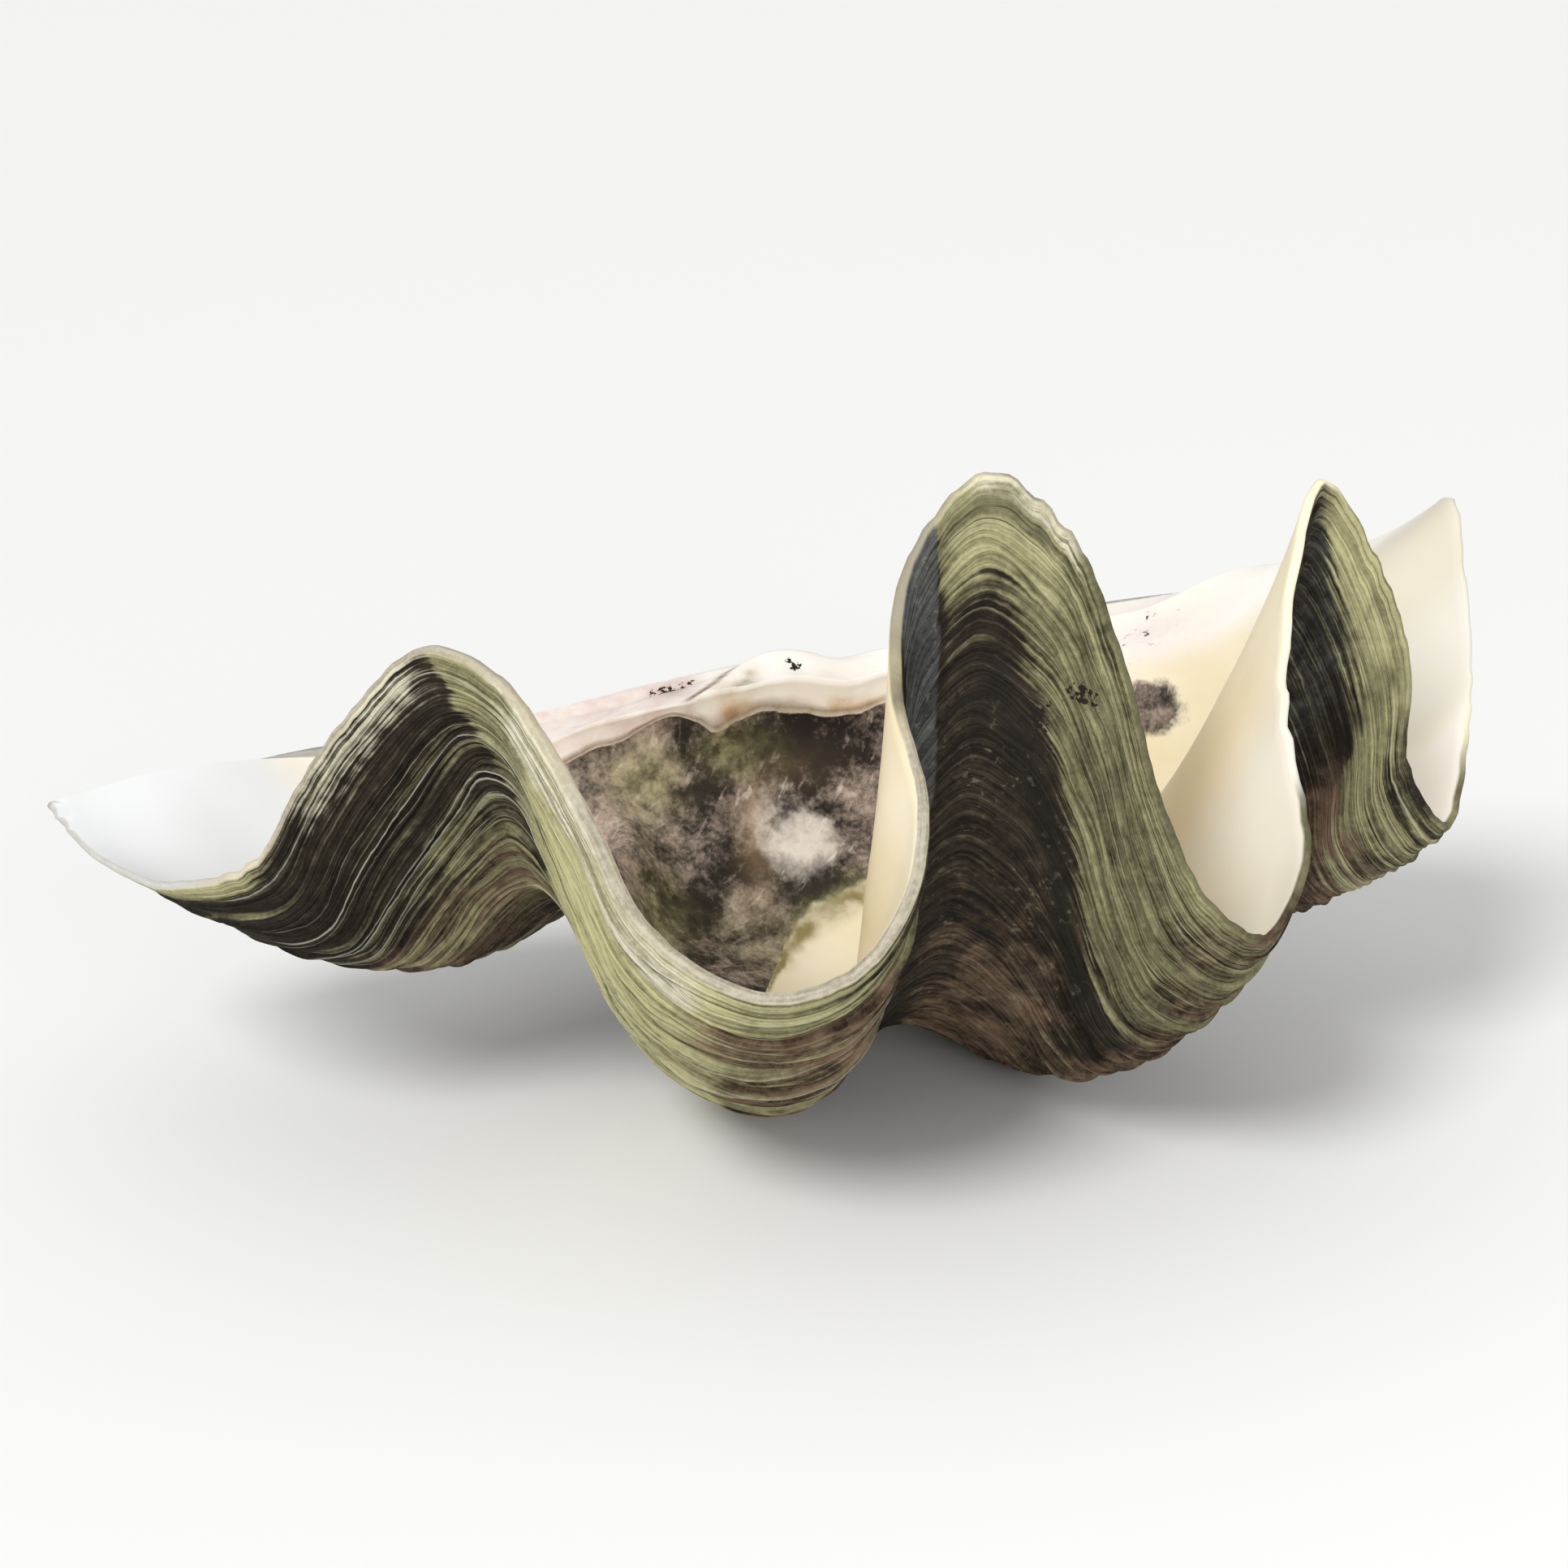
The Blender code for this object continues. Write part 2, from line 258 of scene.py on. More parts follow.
def on_x(table, x):
    """Smooth curve through a table whose rows start with their X."""
    return spline([row[1:] for row in table], [row[0] for row in table], x)


def hinge_edge(x):
    """Point on the back edge at x."""
    return spline(HINGE_EDGE, [row[0] for row in HINGE_EDGE], x)


def plate_edge(x):
    """Front edge of the hinge plate at x."""
    width = on_x(PLATE_WIDTH, x)[..., 0]
    return hinge_edge(x) + np.stack([0 * width, -width, -0.15 * width], -1)


def pull_ends(p, u, reach, left, right):
    """Move both end columns of a surface onto given points, fading along the margin."""
    at_left = (1 - ease(u / reach))[None, :, None]
    at_right = ease((u - 1 + reach) / reach)[None, :, None]
    return p + at_left * (left - p[:, 0])[:, None] + at_right * (right - p[:, -1])[:, None]


# Brings the swelling s * s * (1 - s) to 1 where it is highest
SWELL = 6.75


def growth(curves, u, s):
    """Surface swept by margin curves that shrink towards the beak and turn about the hinge."""
    turn = -TURN * np.log(s) + TURN_LATE * (1 - s)
    c = np.cos(turn)
    n = np.sin(turn)
    v = curves * s[..., None]
    push = on_named(BULGE, u)[None]
    front = SWELL * s * s * (1 - s)
    behind = SWELL * s * (1 - s) ** 2
    x = v[..., 0] + BEAK_SIDE * (1 - s) + push[..., 0] * front
    y = v[..., 1] * c - v[..., 2] * n
    z = v[..., 1] * n + v[..., 2] * c - push[..., 1] * front - push[..., 2] * behind
    p = np.stack([x, y, z], -1)
    return pull_ends(p, u, EDGE_REACH, hinge_edge(p[:, 0, 0]), hinge_edge(p[:, -1, 0]))


def plain_surface(u, s):
    """Growth surface without folds."""
    return growth(on_named(PLAIN, u)[None] + 0 * s[..., None], u, s)


def folded_surface(u, s):
    """Outer face of the valve without its ledges."""
    plain = on_named(PLAIN, u)[None]
    margin = spline([row[1:] for row in MARGIN], margin_knots, u)[None]
    rounded = on_named([row for row in MARGIN if row[0]], u)[None]
    sharp = ease((s - 0.55) / 0.40)[..., None]
    margin = rounded + sharp * (margin - rounded)
    return growth(plain + (s**FOLD_POWER)[..., None] * (margin - plain), u, s)


def inward(surface, u, s):
    """Unit normals of a growth surface that point into the bowl."""
    e = 0.002
    along = surface(np.clip(u + e, 0, 1), s) - surface(np.clip(u - e, 0, 1), s)
    grow = surface(u, np.clip(s + e, 0.05, 1)) - surface(u, np.clip(s - e, 0.05, 1))
    normal = unit(np.cross(along, grow))
    return -normal if normal[-1, len(u) // 2, 2] < 0 else normal


# Height over which the folded wall runs out into the bowl's floor
RUN_OUT = 0.06


def inner_front(u, s):
    """Inner face from the lip to the bowl: folds sink into a smooth floor."""
    outside = folded_surface(u, s)
    plain = plain_surface(u, s)
    up = inward(plain_surface, u, s)
    even = np.polynomial.polynomial.polyfit(u, up.transpose(1, 0, 2).reshape(len(u), -1), 3)
    up = np.polynomial.polynomial.polyval(u, even).reshape(len(s), 3, len(u)).transpose(0, 2, 1)
    up = unit(up)
    wall_normal = inward(folded_surface, np.clip(u, 0.02, 0.98), s)
    thin = 1 - (1 - on_named(LIP_SHARE, u)[:, 0]) * ease((s - 0.86) / 0.14)
    wall = outside + (look_up(FRONT_THICKNESS, s) * thin)[..., None] * wall_normal
    offset = wall - plain
    height = (offset * up).sum(-1)
    aside = offset - height[..., None] * up
    floor = look_up(FLOOR, s)
    mix = np.clip(0.5 + (height - floor) / RUN_OUT, 0, 1)
    height = floor * (1 - mix) + height * mix + 0.5 * RUN_OUT * mix * (1 - mix)
    keep = ease((s - BOWL_RING) / 0.35)[..., None]
    p = plain + aside * keep + height[..., None] * up
    ends = []
    for column in (0, -1):
        x = outside[:, column, 0]
        on_plate = ease((0.85 - x / MARGIN[column][1]) / 0.25)[:, None]
        ends.append(wall[:, column] * (1 - on_plate) + plate_edge(x) * on_plate)
    return pull_ends(p, u, INNER_EDGE_REACH, ends[0], ends[1])


def spread(u):
    """Share of the unfolded margin length passed at u."""
    fine = np.linspace(0, 1, 2001)
    step = np.linalg.norm(np.diff(on_named(PLAIN, fine), axis=0), axis=1)
    length = np.concatenate([[0.0], np.cumsum(step)])
    return np.interp(u, fine, length / length[-1])


GROOVE_DEPTH = 0.005


def hinge_relief(p):
    """Tooth and ligament groove on the hinge plate."""
    depth = hinge_edge(p[..., 0])[..., 1] - p[..., 1]
    width = np.where(p[..., 0] < 0.0, 0.034, 0.045)
    tooth = np.exp(-(p[..., 0] / width) ** 2 - ((depth - 0.022) / 0.011) ** 2)
    groove = np.exp(-((p[..., 0] + 0.085) / 0.040) ** 2 - ((depth - 0.014) / 0.006) ** 2)
    p = p.copy()
    p[..., 2] += TOOTH_HEIGHT * tooth - GROOVE_DEPTH * groove
    return p


def hump(x, centre, width):
    """Soft hump of height 1 round a centre."""
    return np.exp(-((x - centre) / width) ** 2)


# Growth lines: every interval between two ledges holds a few thinner lips, unevenly spaced.
# Each lip leans out from the face and drops back just behind its edge.
LIP_SPACING = 0.0086
BEAK_SPACING = 0.026
BEAK_END = 0.60
WAVER = 0.38
EDGE_LENGTH = 0.0016
WIDE_GAP = 0.015
LEAST_GAP = 0.0004
BOLD_LEDGES = (0.855, 0.905)
# place along the margin, width, strength
SHAGGY_PLACES = ((0.280, 0.028, 1.8), (0.150, 0.050, 0.7), (0.330, 0.030, 0.5), (0.600, 0.050, 0.6))
dice = np.random.default_rng(11)
lines = []
start = FIRST_RING
for ledge in LEDGES + (1.0,):
    count = max(1, round((ledge - start) / (LIP_SPACING if ledge > BEAK_END else BEAK_SPACING)))
    cuts = (np.arange(1, count + 1) + np.append(dice.uniform(-WAVER, WAVER, count - 1), 0)) / count
    for cut in cuts:
        lines.append((start + (ledge - start) * cut, cut == cuts[-1]))
    start = ledge
u = np.linspace(0, 1, ACROSS + 1)
along = u * margin_length[-1]
shaggy = sum((strength * hump(u, at, width) for at, width, strength in SHAGGY_PLACES), start=1)
strip = ease((u - 0.420) / 0.012) * ease((0.4530 - u) / 0.0022)
channel = ease((u - 0.448) / 0.01) * ease((0.57 - u) / 0.05)

# Each row: ring sizes, heights over the plain face, how near to a lip's edge, tone, age
growth_rows = [(FIRST_RING + 0 * u, 0 * u, 0.0, 0.5, FIRST_RING)]
previous = FIRST_RING
ledge_start = FIRST_RING
for number, (ring, is_ledge) in enumerate(lines):
    wander = 0.0022 * sway(along, 3, 1.5, 6) + 0.0012 * sway(along, 40 + number, 4, 16)
    wander = wander * min(1.0, (1 - ring) / 0.03) * min(1.0, (ring - FIRST_RING) / 0.05)
    band = 1.0 if ring in BOLD_LEDGES else dice.uniform(0, 1)
    proud = 0.0006 + 0.0012 * ease(0.5 + 0.5 * sway(along, 80 + number, 2, 9)) * (0.4 + 1.3 * band)
    proud = proud * (shaggy if ring > 0.7 else 1) * (1 - 0.7 * strip)
    proud = proud * (1 - 0.6 * ease((0.895 - ring) / 0.03) * channel)
    rough = 0.00035 * dice.normal(0, 1, len(u))
    next_ledge = min([v for v in LEDGES + (1.0,) if v >= ring - 1e-9])
    share = (ring - ledge_start) / (next_ledge - ledge_start)
    big = 0 * u
    if next_ledge < 1:
        big = LEDGE_HEIGHT * next_ledge * share * (0.75 + 0.25 * sway(along, 7, 1, 5))
    if ring > previous + WIDE_GAP:
        halfway = 0.5 * (previous + ring)
        growth_rows.append((halfway + wander, 0.6 * big + 0.3 * proud, 0.45, band, halfway))
    if ring < 1:
        behind = ring + EDGE_LENGTH
        growth_rows.append((ring + wander + rough, big + proud, 1.0, band, ring))
        growth_rows.append((behind + wander, 0 * u if is_ledge else big * 0.93, 0.0, band, behind))
    else:
        growth_rows.append((1 + 0 * u, 0 * u, 1.0, band, 1.0))
    previous = ring
    if is_ledge:
        ledge_start = ring
ring_rows, lift_rows, phase_rows, band_rows, age_rows = zip(*growth_rows)
rings = np.array(ring_rows)
lift = np.array(lift_rows)

# Right of the first crest the old lips are bunched towards the margin
rings += 0.060 * hump(u, 0.207, 0.024) * ease((rings - 0.70) / 0.16) * ease((1 - rings) / 0.16)
for k in range(1, len(rings)):
    rings[k] = np.maximum(rings[k], rings[k - 1] + LEAST_GAP)
for k in range(len(rings) - 2, -1, -1):
    rings[k] = np.minimum(rings[k], rings[k + 1] - LEAST_GAP)

# A low ridge down the third crest and a raised strip down the middle one end short of the lip
before_lip = ease((1.0 - rings) / 0.01)
lift += 0.0024 * hump(u, 0.788, 0.0045) * ease((rings - 0.89) / 0.04) * before_lip
lift += 0.0022 * strip * ease((rings - 0.86) / 0.04) * before_lip

# Chips: small ones all along the lip, two single ones and a ragged stretch of the third crest
chips = 0.0016 * (0.5 + 0.5 * sway(along, 21, 20, 70))
chips += 0.0040 * hump(u, 0.063, 0.006) + 0.0035 * hump(u, 0.925, 0.005)
chips += 0.0065 * hump(u, 0.692, 0.030) * ease(0.5 + 0.8 * sway(along, 22, 15, 45))


def chipped(ring):
    """Ring sizes with the chips taken off close to the lip."""
    return ring * (1 - chips[None] * ease((ring - 0.975) / 0.025))


rings = chipped(rings)
fade = ease(u / 0.06) * ease((1 - u) / 0.06)
outward = -inward(folded_surface, u, rings)
outer = folded_surface(u, rings) + (lift * fade)[..., None] * outward

# Inner face, and the rounded lip between the two faces
inner_rings = 1 - (1 - BOWL_RING) * np.linspace(0, 1, INNER_STEPS) ** 1.15
inner_rings = chipped(np.repeat(inner_rings[:, None], len(u), 1))
inner = inner_front(u, inner_rings)
middle = 0.5 * (outer[-1] + inner[0])
half = 0.5 * (outer[-1] - inner[0])
grow_way = unit(folded_surface(u, rings[-1:])[0] - folded_surface(u, rings[-1:] - 0.004)[0])
angle = np.linspace(0, math.pi, LIP_STEPS + 2)[1:-1, None, None]
lip = middle + half * np.cos(angle) + 0.30 * LIP * grow_way * np.sin(angle)


def even_x(line):
    """X of every column between the two ends of a line across the valve."""
    return line[0, 0] + (line[-1, 0] - line[0, 0]) * spread(u)


# The back wall rises from the bowl to the hinge plate, with close rows where the stain ends
SHIFT_X = 0.022
bowl_edge, past_edge = inner_front(u, np.repeat([[BOWL_RING], [BOWL_RING + 0.001]], len(u), 1))
leave = unit(bowl_edge - past_edge)
x = even_x(bowl_edge)
plate_front = plate_edge(x)
arrive = unit(np.array([0.0, -0.45, 1.0]))
chord = np.linalg.norm(plate_front - bowl_edge, axis=1, keepdims=True)
edge = np.clip(on_x(STAIN_EDGE, x + SHIFT_X)[:, 0] + 0.006 * sway(x, 61, 8, 40), 0.6, 0.97)
below = np.linspace(0, 1, BELOW_EDGE + 1)[1:, None] * (edge - 0.010)
above = edge + 0.008 + np.linspace(0, 1, ABOVE_EDGE)[:, None] * (0.992 - edge)
back_q = np.concatenate([below, above])
q = back_q[..., None]
back = (2 * q**3 - 3 * q**2 + 1) * bowl_edge + (q**3 - 2 * q**2 + q) * leave * chord * 0.7
back = back + (3 * q**2 - 2 * q**3) * plate_front + (q**3 - q**2) * arrive * chord * 0.9

# The hinge plate, and the cap from the hinge to the beak
hinge = hinge_edge(even_x(outer[0]))
q = np.linspace(0, 1, PLATE_STEPS + 1)[1:-1, None, None]
plate = hinge_relief(back[-1] * (1 - q) + hinge * q)
q = np.linspace(0, 1, CAP_STEPS + 1)[:-1, None, None]
cap = hinge * (1 - q) + outer[0] * q
cap[..., 2] += 0.002 * np.sin(math.pi * q[..., 0]) * np.sin(math.pi * u)
groups = (cap, outer, lip, inner, back, plate)
skin = np.concatenate(groups + (cap[:1],))
starts = np.cumsum([0] + [len(group) for group in groups])
plate_start = starts[4] + BELOW_EDGE


def on_rows(before, outer_rows, after):
    """One value for every row of the skin, where only the outer face's rows differ."""
    return np.concatenate([np.full(starts[1], before), outer_rows, np.full(len(skin) - starts[2], after)])


# What the colours follow: growth line, place along the margin, inner or outer face
phase = on_rows(0.0, phase_rows, 0.0)
band = on_rows(0.5, band_rows, 0.5)
age = on_rows(FIRST_RING, age_rows, 1.0)
round_lip = np.linspace(0, 1, LIP_STEPS + 2)[1:-1]
inside = np.concatenate([[0.5], np.zeros(starts[2] - 1), round_lip, np.ones(starts[6] - starts[3]), [0.5]])
size_of_ring = np.concatenate([
    np.full((starts[1], len(u)), FIRST_RING), rings, np.ones((LIP_STEPS, len(u))), inner_rings,
    BOWL_RING * (1 - 0.8 * back_q), np.full((PLATE_STEPS, len(u)), FIRST_RING)])

# The skin starts as a flat grid whose rows are laid round the valve's section
bpy.ops.mesh.primitive_grid_add(x_subdivisions=ACROSS, y_subdivisions=len(skin) - 1, size=1)
valve = bpy.context.object
valve.name = "valve"
mesh = valve.data
flat = np.zeros(len(mesh.vertices) * 3)
mesh.vertices.foreach_get("co", flat)
flat = flat.reshape(-1, 3)
column = np.rint((flat[:, 0] + 0.5) * ACROSS).astype(int)
row = np.rint((flat[:, 1] + 0.5) * (len(skin) - 1)).astype(int)
roll = np.array([[math.cos(ROLL), 0, -math.sin(ROLL)], [0, 1, 0], [math.sin(ROLL), 0, math.cos(ROLL)]])
pitch = np.array([[1, 0, 0], [0, math.cos(PITCH), math.sin(PITCH)], [0, -math.sin(PITCH), math.cos(PITCH)]])
to_rest = (roll @ pitch).T
place = skin[row, column] @ to_rest - np.array(REST_PLACE)
here_u = u[column]
here_s = size_of_ring[row, column]
here_in = inside[row]
on_outer = (row >= starts[1]) & (row < starts[2])
on_hinge = row >= plate_start
in_bowl = here_in > 0.9


def uneven(coarse, coarse_height, fine, fine_height):
    """Soft random heights of two sizes at every point."""
    return np.array([
        coarse_height * noise.noise(Vector(p) * coarse) + fine_height * noise.noise(Vector(p) * fine)
        for p in place])


# Low lumps on the weathered outer face
away = np.zeros_like(place)
away[on_outer] = (outward @ to_rest)[row[on_outer] - starts[1], column[on_outer]]
outer_fade = ease((1 - here_s) / 0.05) * fade[column] * ease((here_s - 0.12) / 0.12)
place += (0.0016 * uneven(26, 1.0, 60, 0.5) * outer_fade)[:, None] * away

# The hinge plate stands proud of the bowl wall in a sharp step, with a knuckled tooth that
# has two hollows (depth, X and its width, Y and its width), and dips right of the tooth
PLATE_STEP = 0.0024
KNUCKLE = 0.0038
TOOTH_SIDE = ((0.130, -0.037), (0.140, -0.034), (0.156, -0.023), (0.169, -0.011), (0.182, 0.006))
HOLLOWS = ((0.0045, -0.001, 0.011, 0.155, 0.008), (0.0040, 0.030, 0.005, 0.164, 0.004))
DIP = 0.0060
x = place[:, 0]
y = place[:, 1]
z = place[:, 2]
plate_share = np.zeros(len(skin))
plate_share[plate_start:starts[5]] = 1
plate_share[starts[5]:starts[6]] = np.linspace(1, 0, PLATE_STEPS + 1)[1:-1]
on_plate = plate_share[row] * fade[column]
knuckle = ease((x - look_up(TOOTH_SIDE, y)) / 0.007) * (1 - 0.6 * ease((x - 0.040) / 0.050))
proud = on_plate * (PLATE_STEP + KNUCKLE * knuckle * (y > 0.12))
for depth, at_x, width_x, at_y, width_y in HOLLOWS:
    proud -= depth * on_plate * np.exp(-((x - at_x) / width_x) ** 2 - ((y - at_y) / width_y) ** 2)
proud += on_plate * uneven(45, 0.0014, 110, 0.0010)
place += proud[:, None] * np.array([0, -0.60, 0.80])
z -= DIP * hump(x, 0.058, 0.018) * ease((z - 0.180) / 0.020) * (y > 0.1)
z[:] = np.maximum(z, 0)
mesh.vertices.foreach_set("co", place.ravel())

# Where the weathering and the painted light and shade differ: soft areas by place along the margin and ring
# size, and soft spots by place as the shell rests. Each weight is painted on the valve's points.
LEFT_END = -0.1
RIGHT_END = 1.1
BEAK = 0.0
PAST_LIP = 1.1
# place along the margin, ring size from which the olive coat covers the dark one
OLIVE_FROM = (
    (0.000, 0.975), (0.060, 0.978), (0.100, 0.990), (0.120, 1.030), (0.180, 1.030), (0.188, 1.000),
    (0.193, 0.960), (0.205, 0.900), (0.225, 0.800), (0.250, 0.600), (0.312, 0.550), (0.330, 0.650),
    (0.360, 0.750), (0.410, 0.850), (0.425, 1.050), (0.4525, 1.050), (0.454, 0.945), (0.478, 0.946),
    (0.483, 0.932), (0.497, 0.912), (0.515, 0.897), (0.533, 0.878), (0.552, 0.862), (0.580, 0.856),
    (0.640, 0.870), (0.655, 1.030), (0.715, 1.030), (0.741, 0.980), (0.748, 0.962), (0.757, 0.952),
    (0.768, 0.948), (0.779, 0.944), (0.786, 0.937), (0.790, 0.912), (0.805, 0.905), (0.826, 0.885),
    (0.860, 0.870), (0.900, 0.800))
OLIVE_STRENGTH = (
    (0.00, 0.80), (0.10, 0.80), (0.20, 1.00), (0.30, 1.00), (0.335, 0.52), (0.41, 0.45), (0.45, 0.95),
    (0.60, 0.90), (0.70, 0.90), (0.78, 0.95), (0.82, 0.55), (0.90, 0.50))
# place along the margin, ring size up to which the bowl is stained, and how softly that ends
STAIN_REACH = (
    (0.10, 0.720), (0.30, 0.740), (0.322, 0.660), (0.335, 0.540), (0.350, 0.475), (0.380, 0.432),
    (0.410, 0.414), (0.450, 0.418), (0.543, 0.380), (0.60, 0.340), (0.70, 0.300))
STAIN_SOFT = ((0.10, 0.22), (0.30, 0.20), (0.34, 0.05), (0.56, 0.05), (0.64, 0.20))


def area(u0, u1, s0, s1, soft_u=0.012, soft_s=0.02):
    """Soft-edged area between two places along the margin and two ring sizes."""
    across = ease((here_u - u0) / soft_u + 0.5) * ease((u1 - here_u) / soft_u + 0.5)
    return across * ease((here_s - s0) / soft_s + 0.5) * ease((s1 - here_s) / soft_s + 0.5)


def areas(*rows):
    """The strongest of several areas: in each row a weight, then what area takes."""
    return np.maximum.reduce([weight * area(*limits) for weight, *limits in rows])


def spot(centre, size):
    """Soft spot round a place, with its own size along X, Y and Z."""
    return np.exp(-(((place - np.array(centre)) / np.array(size)) ** 2).sum(1))


def spots(*rows):
    """The strongest of several spots: in each row a weight, a centre and a size."""
    return np.maximum.reduce([weight * spot(centre, size) for weight, centre, size in rows])


def paint(name, weight):
    """Keep a weight on the valve's points, where its finish reads it by name."""
    attribute = mesh.attributes.new(name, "FLOAT", "POINT")
    attribute.data.foreach_set("value", weight.astype(np.float32))


paint("along", along[column])
paint("phase", phase[row])
paint("band", band[row])
paint("age", age[row])
paint("inside", here_in)

# Outer face: the olive coat and where it is light, with a painted highlight on a ledge of the first crest,
# drawn with lines, rusty, worn pale, and grey where shade is painted on walls turned from the light
olive_from = look_up(OLIVE_FROM, here_u)
strength = look_up(OLIVE_STRENGTH, here_u) * (1 - 0.42 * area(0.298, 0.36, 0.50, 0.955, 0.03, 0.05))
strength = strength * (1 - 0.45 * area(0.585, 0.63, 0.50, PAST_LIP, 0.025, 0.10))
paint("olive", np.maximum.reduce([
    strength * ease((here_s - olive_from) / 0.04 + 0.5),
    0.45 * ease((0.62 - here_s) / 0.15),
    areas(
        (0.18, 0.715, 0.79, 0.86, PAST_LIP, 0.02, 0.04),
        (0.60, 0.150, 0.21, 0.74, 0.87, 0.02, 0.04),
        (0.36, 0.100, 0.24, 0.50, 0.84, 0.03, 0.05))]))
paint("light", np.maximum(0.06, areas(
    (1.28, 0.215, 0.308, 0.60, PAST_LIP, 0.03, 0.20),
    (0.45, 0.180, 0.225, 0.93, PAST_LIP, 0.02, 0.03),
    (0.42, 0.30, 0.36, 0.60, PAST_LIP, 0.03, 0.20),
    (0.60, 0.455, 0.492, 0.962, PAST_LIP, 0.012, 0.03),
    (0.16, 0.490, 0.60, 0.90, PAST_LIP, 0.02, 0.05),
    (0.80, 0.740, 0.765, 0.960, PAST_LIP, 0.012, 0.02),
    (0.66, 0.762, 0.800, 0.940, PAST_LIP, 0.015, 0.03),
    (0.62, 0.785, 0.860, 0.880, PAST_LIP, 0.02, 0.04),
    (0.40, 0.05, 0.21, 0.66, 0.84, 0.03, 0.06),
    # Painted highlight along a ledge of the first crest, above its painted shade
    (0.72, 0.125, 0.215, 0.700, 0.750, 0.03, 0.02),
    (0.55, 0.48, 0.66, 0.30, 0.78, 0.03, 0.10),
    (0.70, LEFT_END, 0.10, 0.955, PAST_LIP, 0.03, 0.03))))
lined = np.maximum(0.26, areas(
    (0.70, 0.085, 0.222, 0.79, PAST_LIP, 0.02, 0.05),
    (0.42, 0.453, 0.488, 0.90, PAST_LIP, 0.008, 0.04),
    (0.50, 0.085, 0.23, 0.40, 0.80, 0.02, 0.05),
    (0.52, 0.255, 0.37, 0.80, PAST_LIP, 0.02, 0.05),
    (0.55, 0.795, 0.88, 0.87, PAST_LIP, 0.02, 0.04)))
lined = lined * (1 - 0.9 * area(0.425, 0.4525, 0.80, PAST_LIP, 0.006, 0.04))
paint("lined", lined * (1 - 0.9 * area(0.453, 0.56, 0.3, 0.90, 0.01, 0.05)))
paint("rusty", areas(
    (0.85, 0.09, 0.24, 0.30, 0.80, 0.04, 0.08),
    (0.28, 0.453, 0.64, 0.30, 0.84, 0.02, 0.14),
    (0.55, 0.453, 0.66, 0.20, 0.78, 0.03, 0.10),
    (0.90, 0.78, 0.88, 0.30, 0.93, 0.02, 0.06),
    (0.80, 0.29, 0.41, 0.60, 0.97, 0.03, 0.06),
    (0.60, 0.585, 0.65, 0.60, PAST_LIP, 0.03, 0.06)))
# Painted shade: grey on walls of the middle and third crests that turn from the light
paint("wall_shade", areas(
    (1.00, 0.425, 0.4525, 0.86, PAST_LIP, 0.006, 0.04),
    (0.42, 0.660, 0.772, 0.86, 1.0, 0.020, 0.04)))
paint("pale", areas(
    (0.60, 0.125, 0.184, 0.966, PAST_LIP, 0.020, 0.040),
    (0.78, 0.210, 0.300, 0.958, PAST_LIP, 0.020, 0.030),
    (0.70, 0.463, 0.500, 0.990, PAST_LIP, 0.010, 0.008)))

# Painted shade: along the coat's edge in the middle crest's channel, behind its lip, across the first crest
# below a ledge and on the crumbled right-hand edge
paint("painted_shade", np.maximum.reduce([
    hump(here_s - olive_from, -0.034, 0.020) * area(0.468, 0.560, 0.80, 0.96, 0.01, 0.04),
    0.9 * hump(here_s, 0.991, 0.005) * area(0.455, 0.487, BEAK, PAST_LIP, 0.006) * (here_in < 0.05),
    0.62 * area(0.125, 0.190, 0.600, 0.685, 0.03, 0.03),
    spots(
        (0.8, (0.342, -0.058, 0.260), (0.007, 0.012, 0.007)),
        (0.8, (0.334, -0.056, 0.249), (0.007, 0.012, 0.007)),
        (0.9, (0.327, -0.053, 0.236), (0.007, 0.012, 0.007)),
        (0.9, (0.321, -0.048, 0.220), (0.007, 0.012, 0.009)),
        (0.7, (0.318, -0.042, 0.202), (0.006, 0.010, 0.010)))]))

# Bowl: the stain and what lies in it, which are the muscle scar, moss, mud and rubbed patches; the moss
# weight also holds painted shade in a hollow of the tooth
stain_reach = look_up(STAIN_REACH, here_u)
stain = ease((stain_reach - here_s) / look_up(STAIN_SOFT, here_u) + 0.5) * ease((here_u - 0.09) / 0.10)
stain = stain * (row < plate_start) * (1 - ease((x - 0.15) / 0.05))
stain = np.maximum(stain, spots(
    (1.0, (0.233, 0.105, 0.192), (0.028, 0.020, 0.020)),
    (1.1, (0.182, 0.132, 0.184), (0.042, 0.022, 0.022))))
paint("stain", stain * in_bowl)
border = hump(here_s - stain_reach, 0.012, 0.024) * in_bowl
border = border * ease((here_u - 0.31) / 0.03) * ease((0.56 - here_u) / 0.06)
scar = spot((0.033, 0.120, 0.112), (0.026, 0.030, 0.026))
paint("scar", scar + 0.40 * spot((0.012, 0.118, 0.112), (0.018, 0.030, 0.024)))
paint("moss_and_hollow_shade", np.maximum(1.5 * border, spots(
    (1.0, (-0.065, 0.120, 0.155), (0.026, 0.03, 0.022)),
    (0.9, (-0.010, 0.138, 0.165), (0.024, 0.02, 0.014)),
    (0.7, (-0.055, 0.050, 0.090), (0.020, 0.05, 0.04)),
    (0.6, (0.010, 0.070, 0.070), (0.030, 0.03, 0.03)),
    # Painted shade in a hollow of the tooth
    (0.9, (-0.001, 0.153, 0.202), (0.009, 0.006, 0.01)))))
paint("pinkish", spots(
    (0.85, (-0.080, 0.090, 0.138), (0.026, 0.06, 0.035)),
    (0.75, (0.065, 0.140, 0.135), (0.018, 0.03, 0.030)),
    (0.60, (-0.039, 0.111, 0.118), (0.014, 0.03, 0.018)),
    (0.35, (0.004, 0.071, 0.066), (0.02, 0.03, 0.02))))
amber = 1.1 * spot((0.003, 0.118, 0.110), (0.010, 0.03, 0.028))
paint("amber", amber + 0.3 * spot((0.030, 0.130, 0.150), (0.030, 0.03, 0.012)))
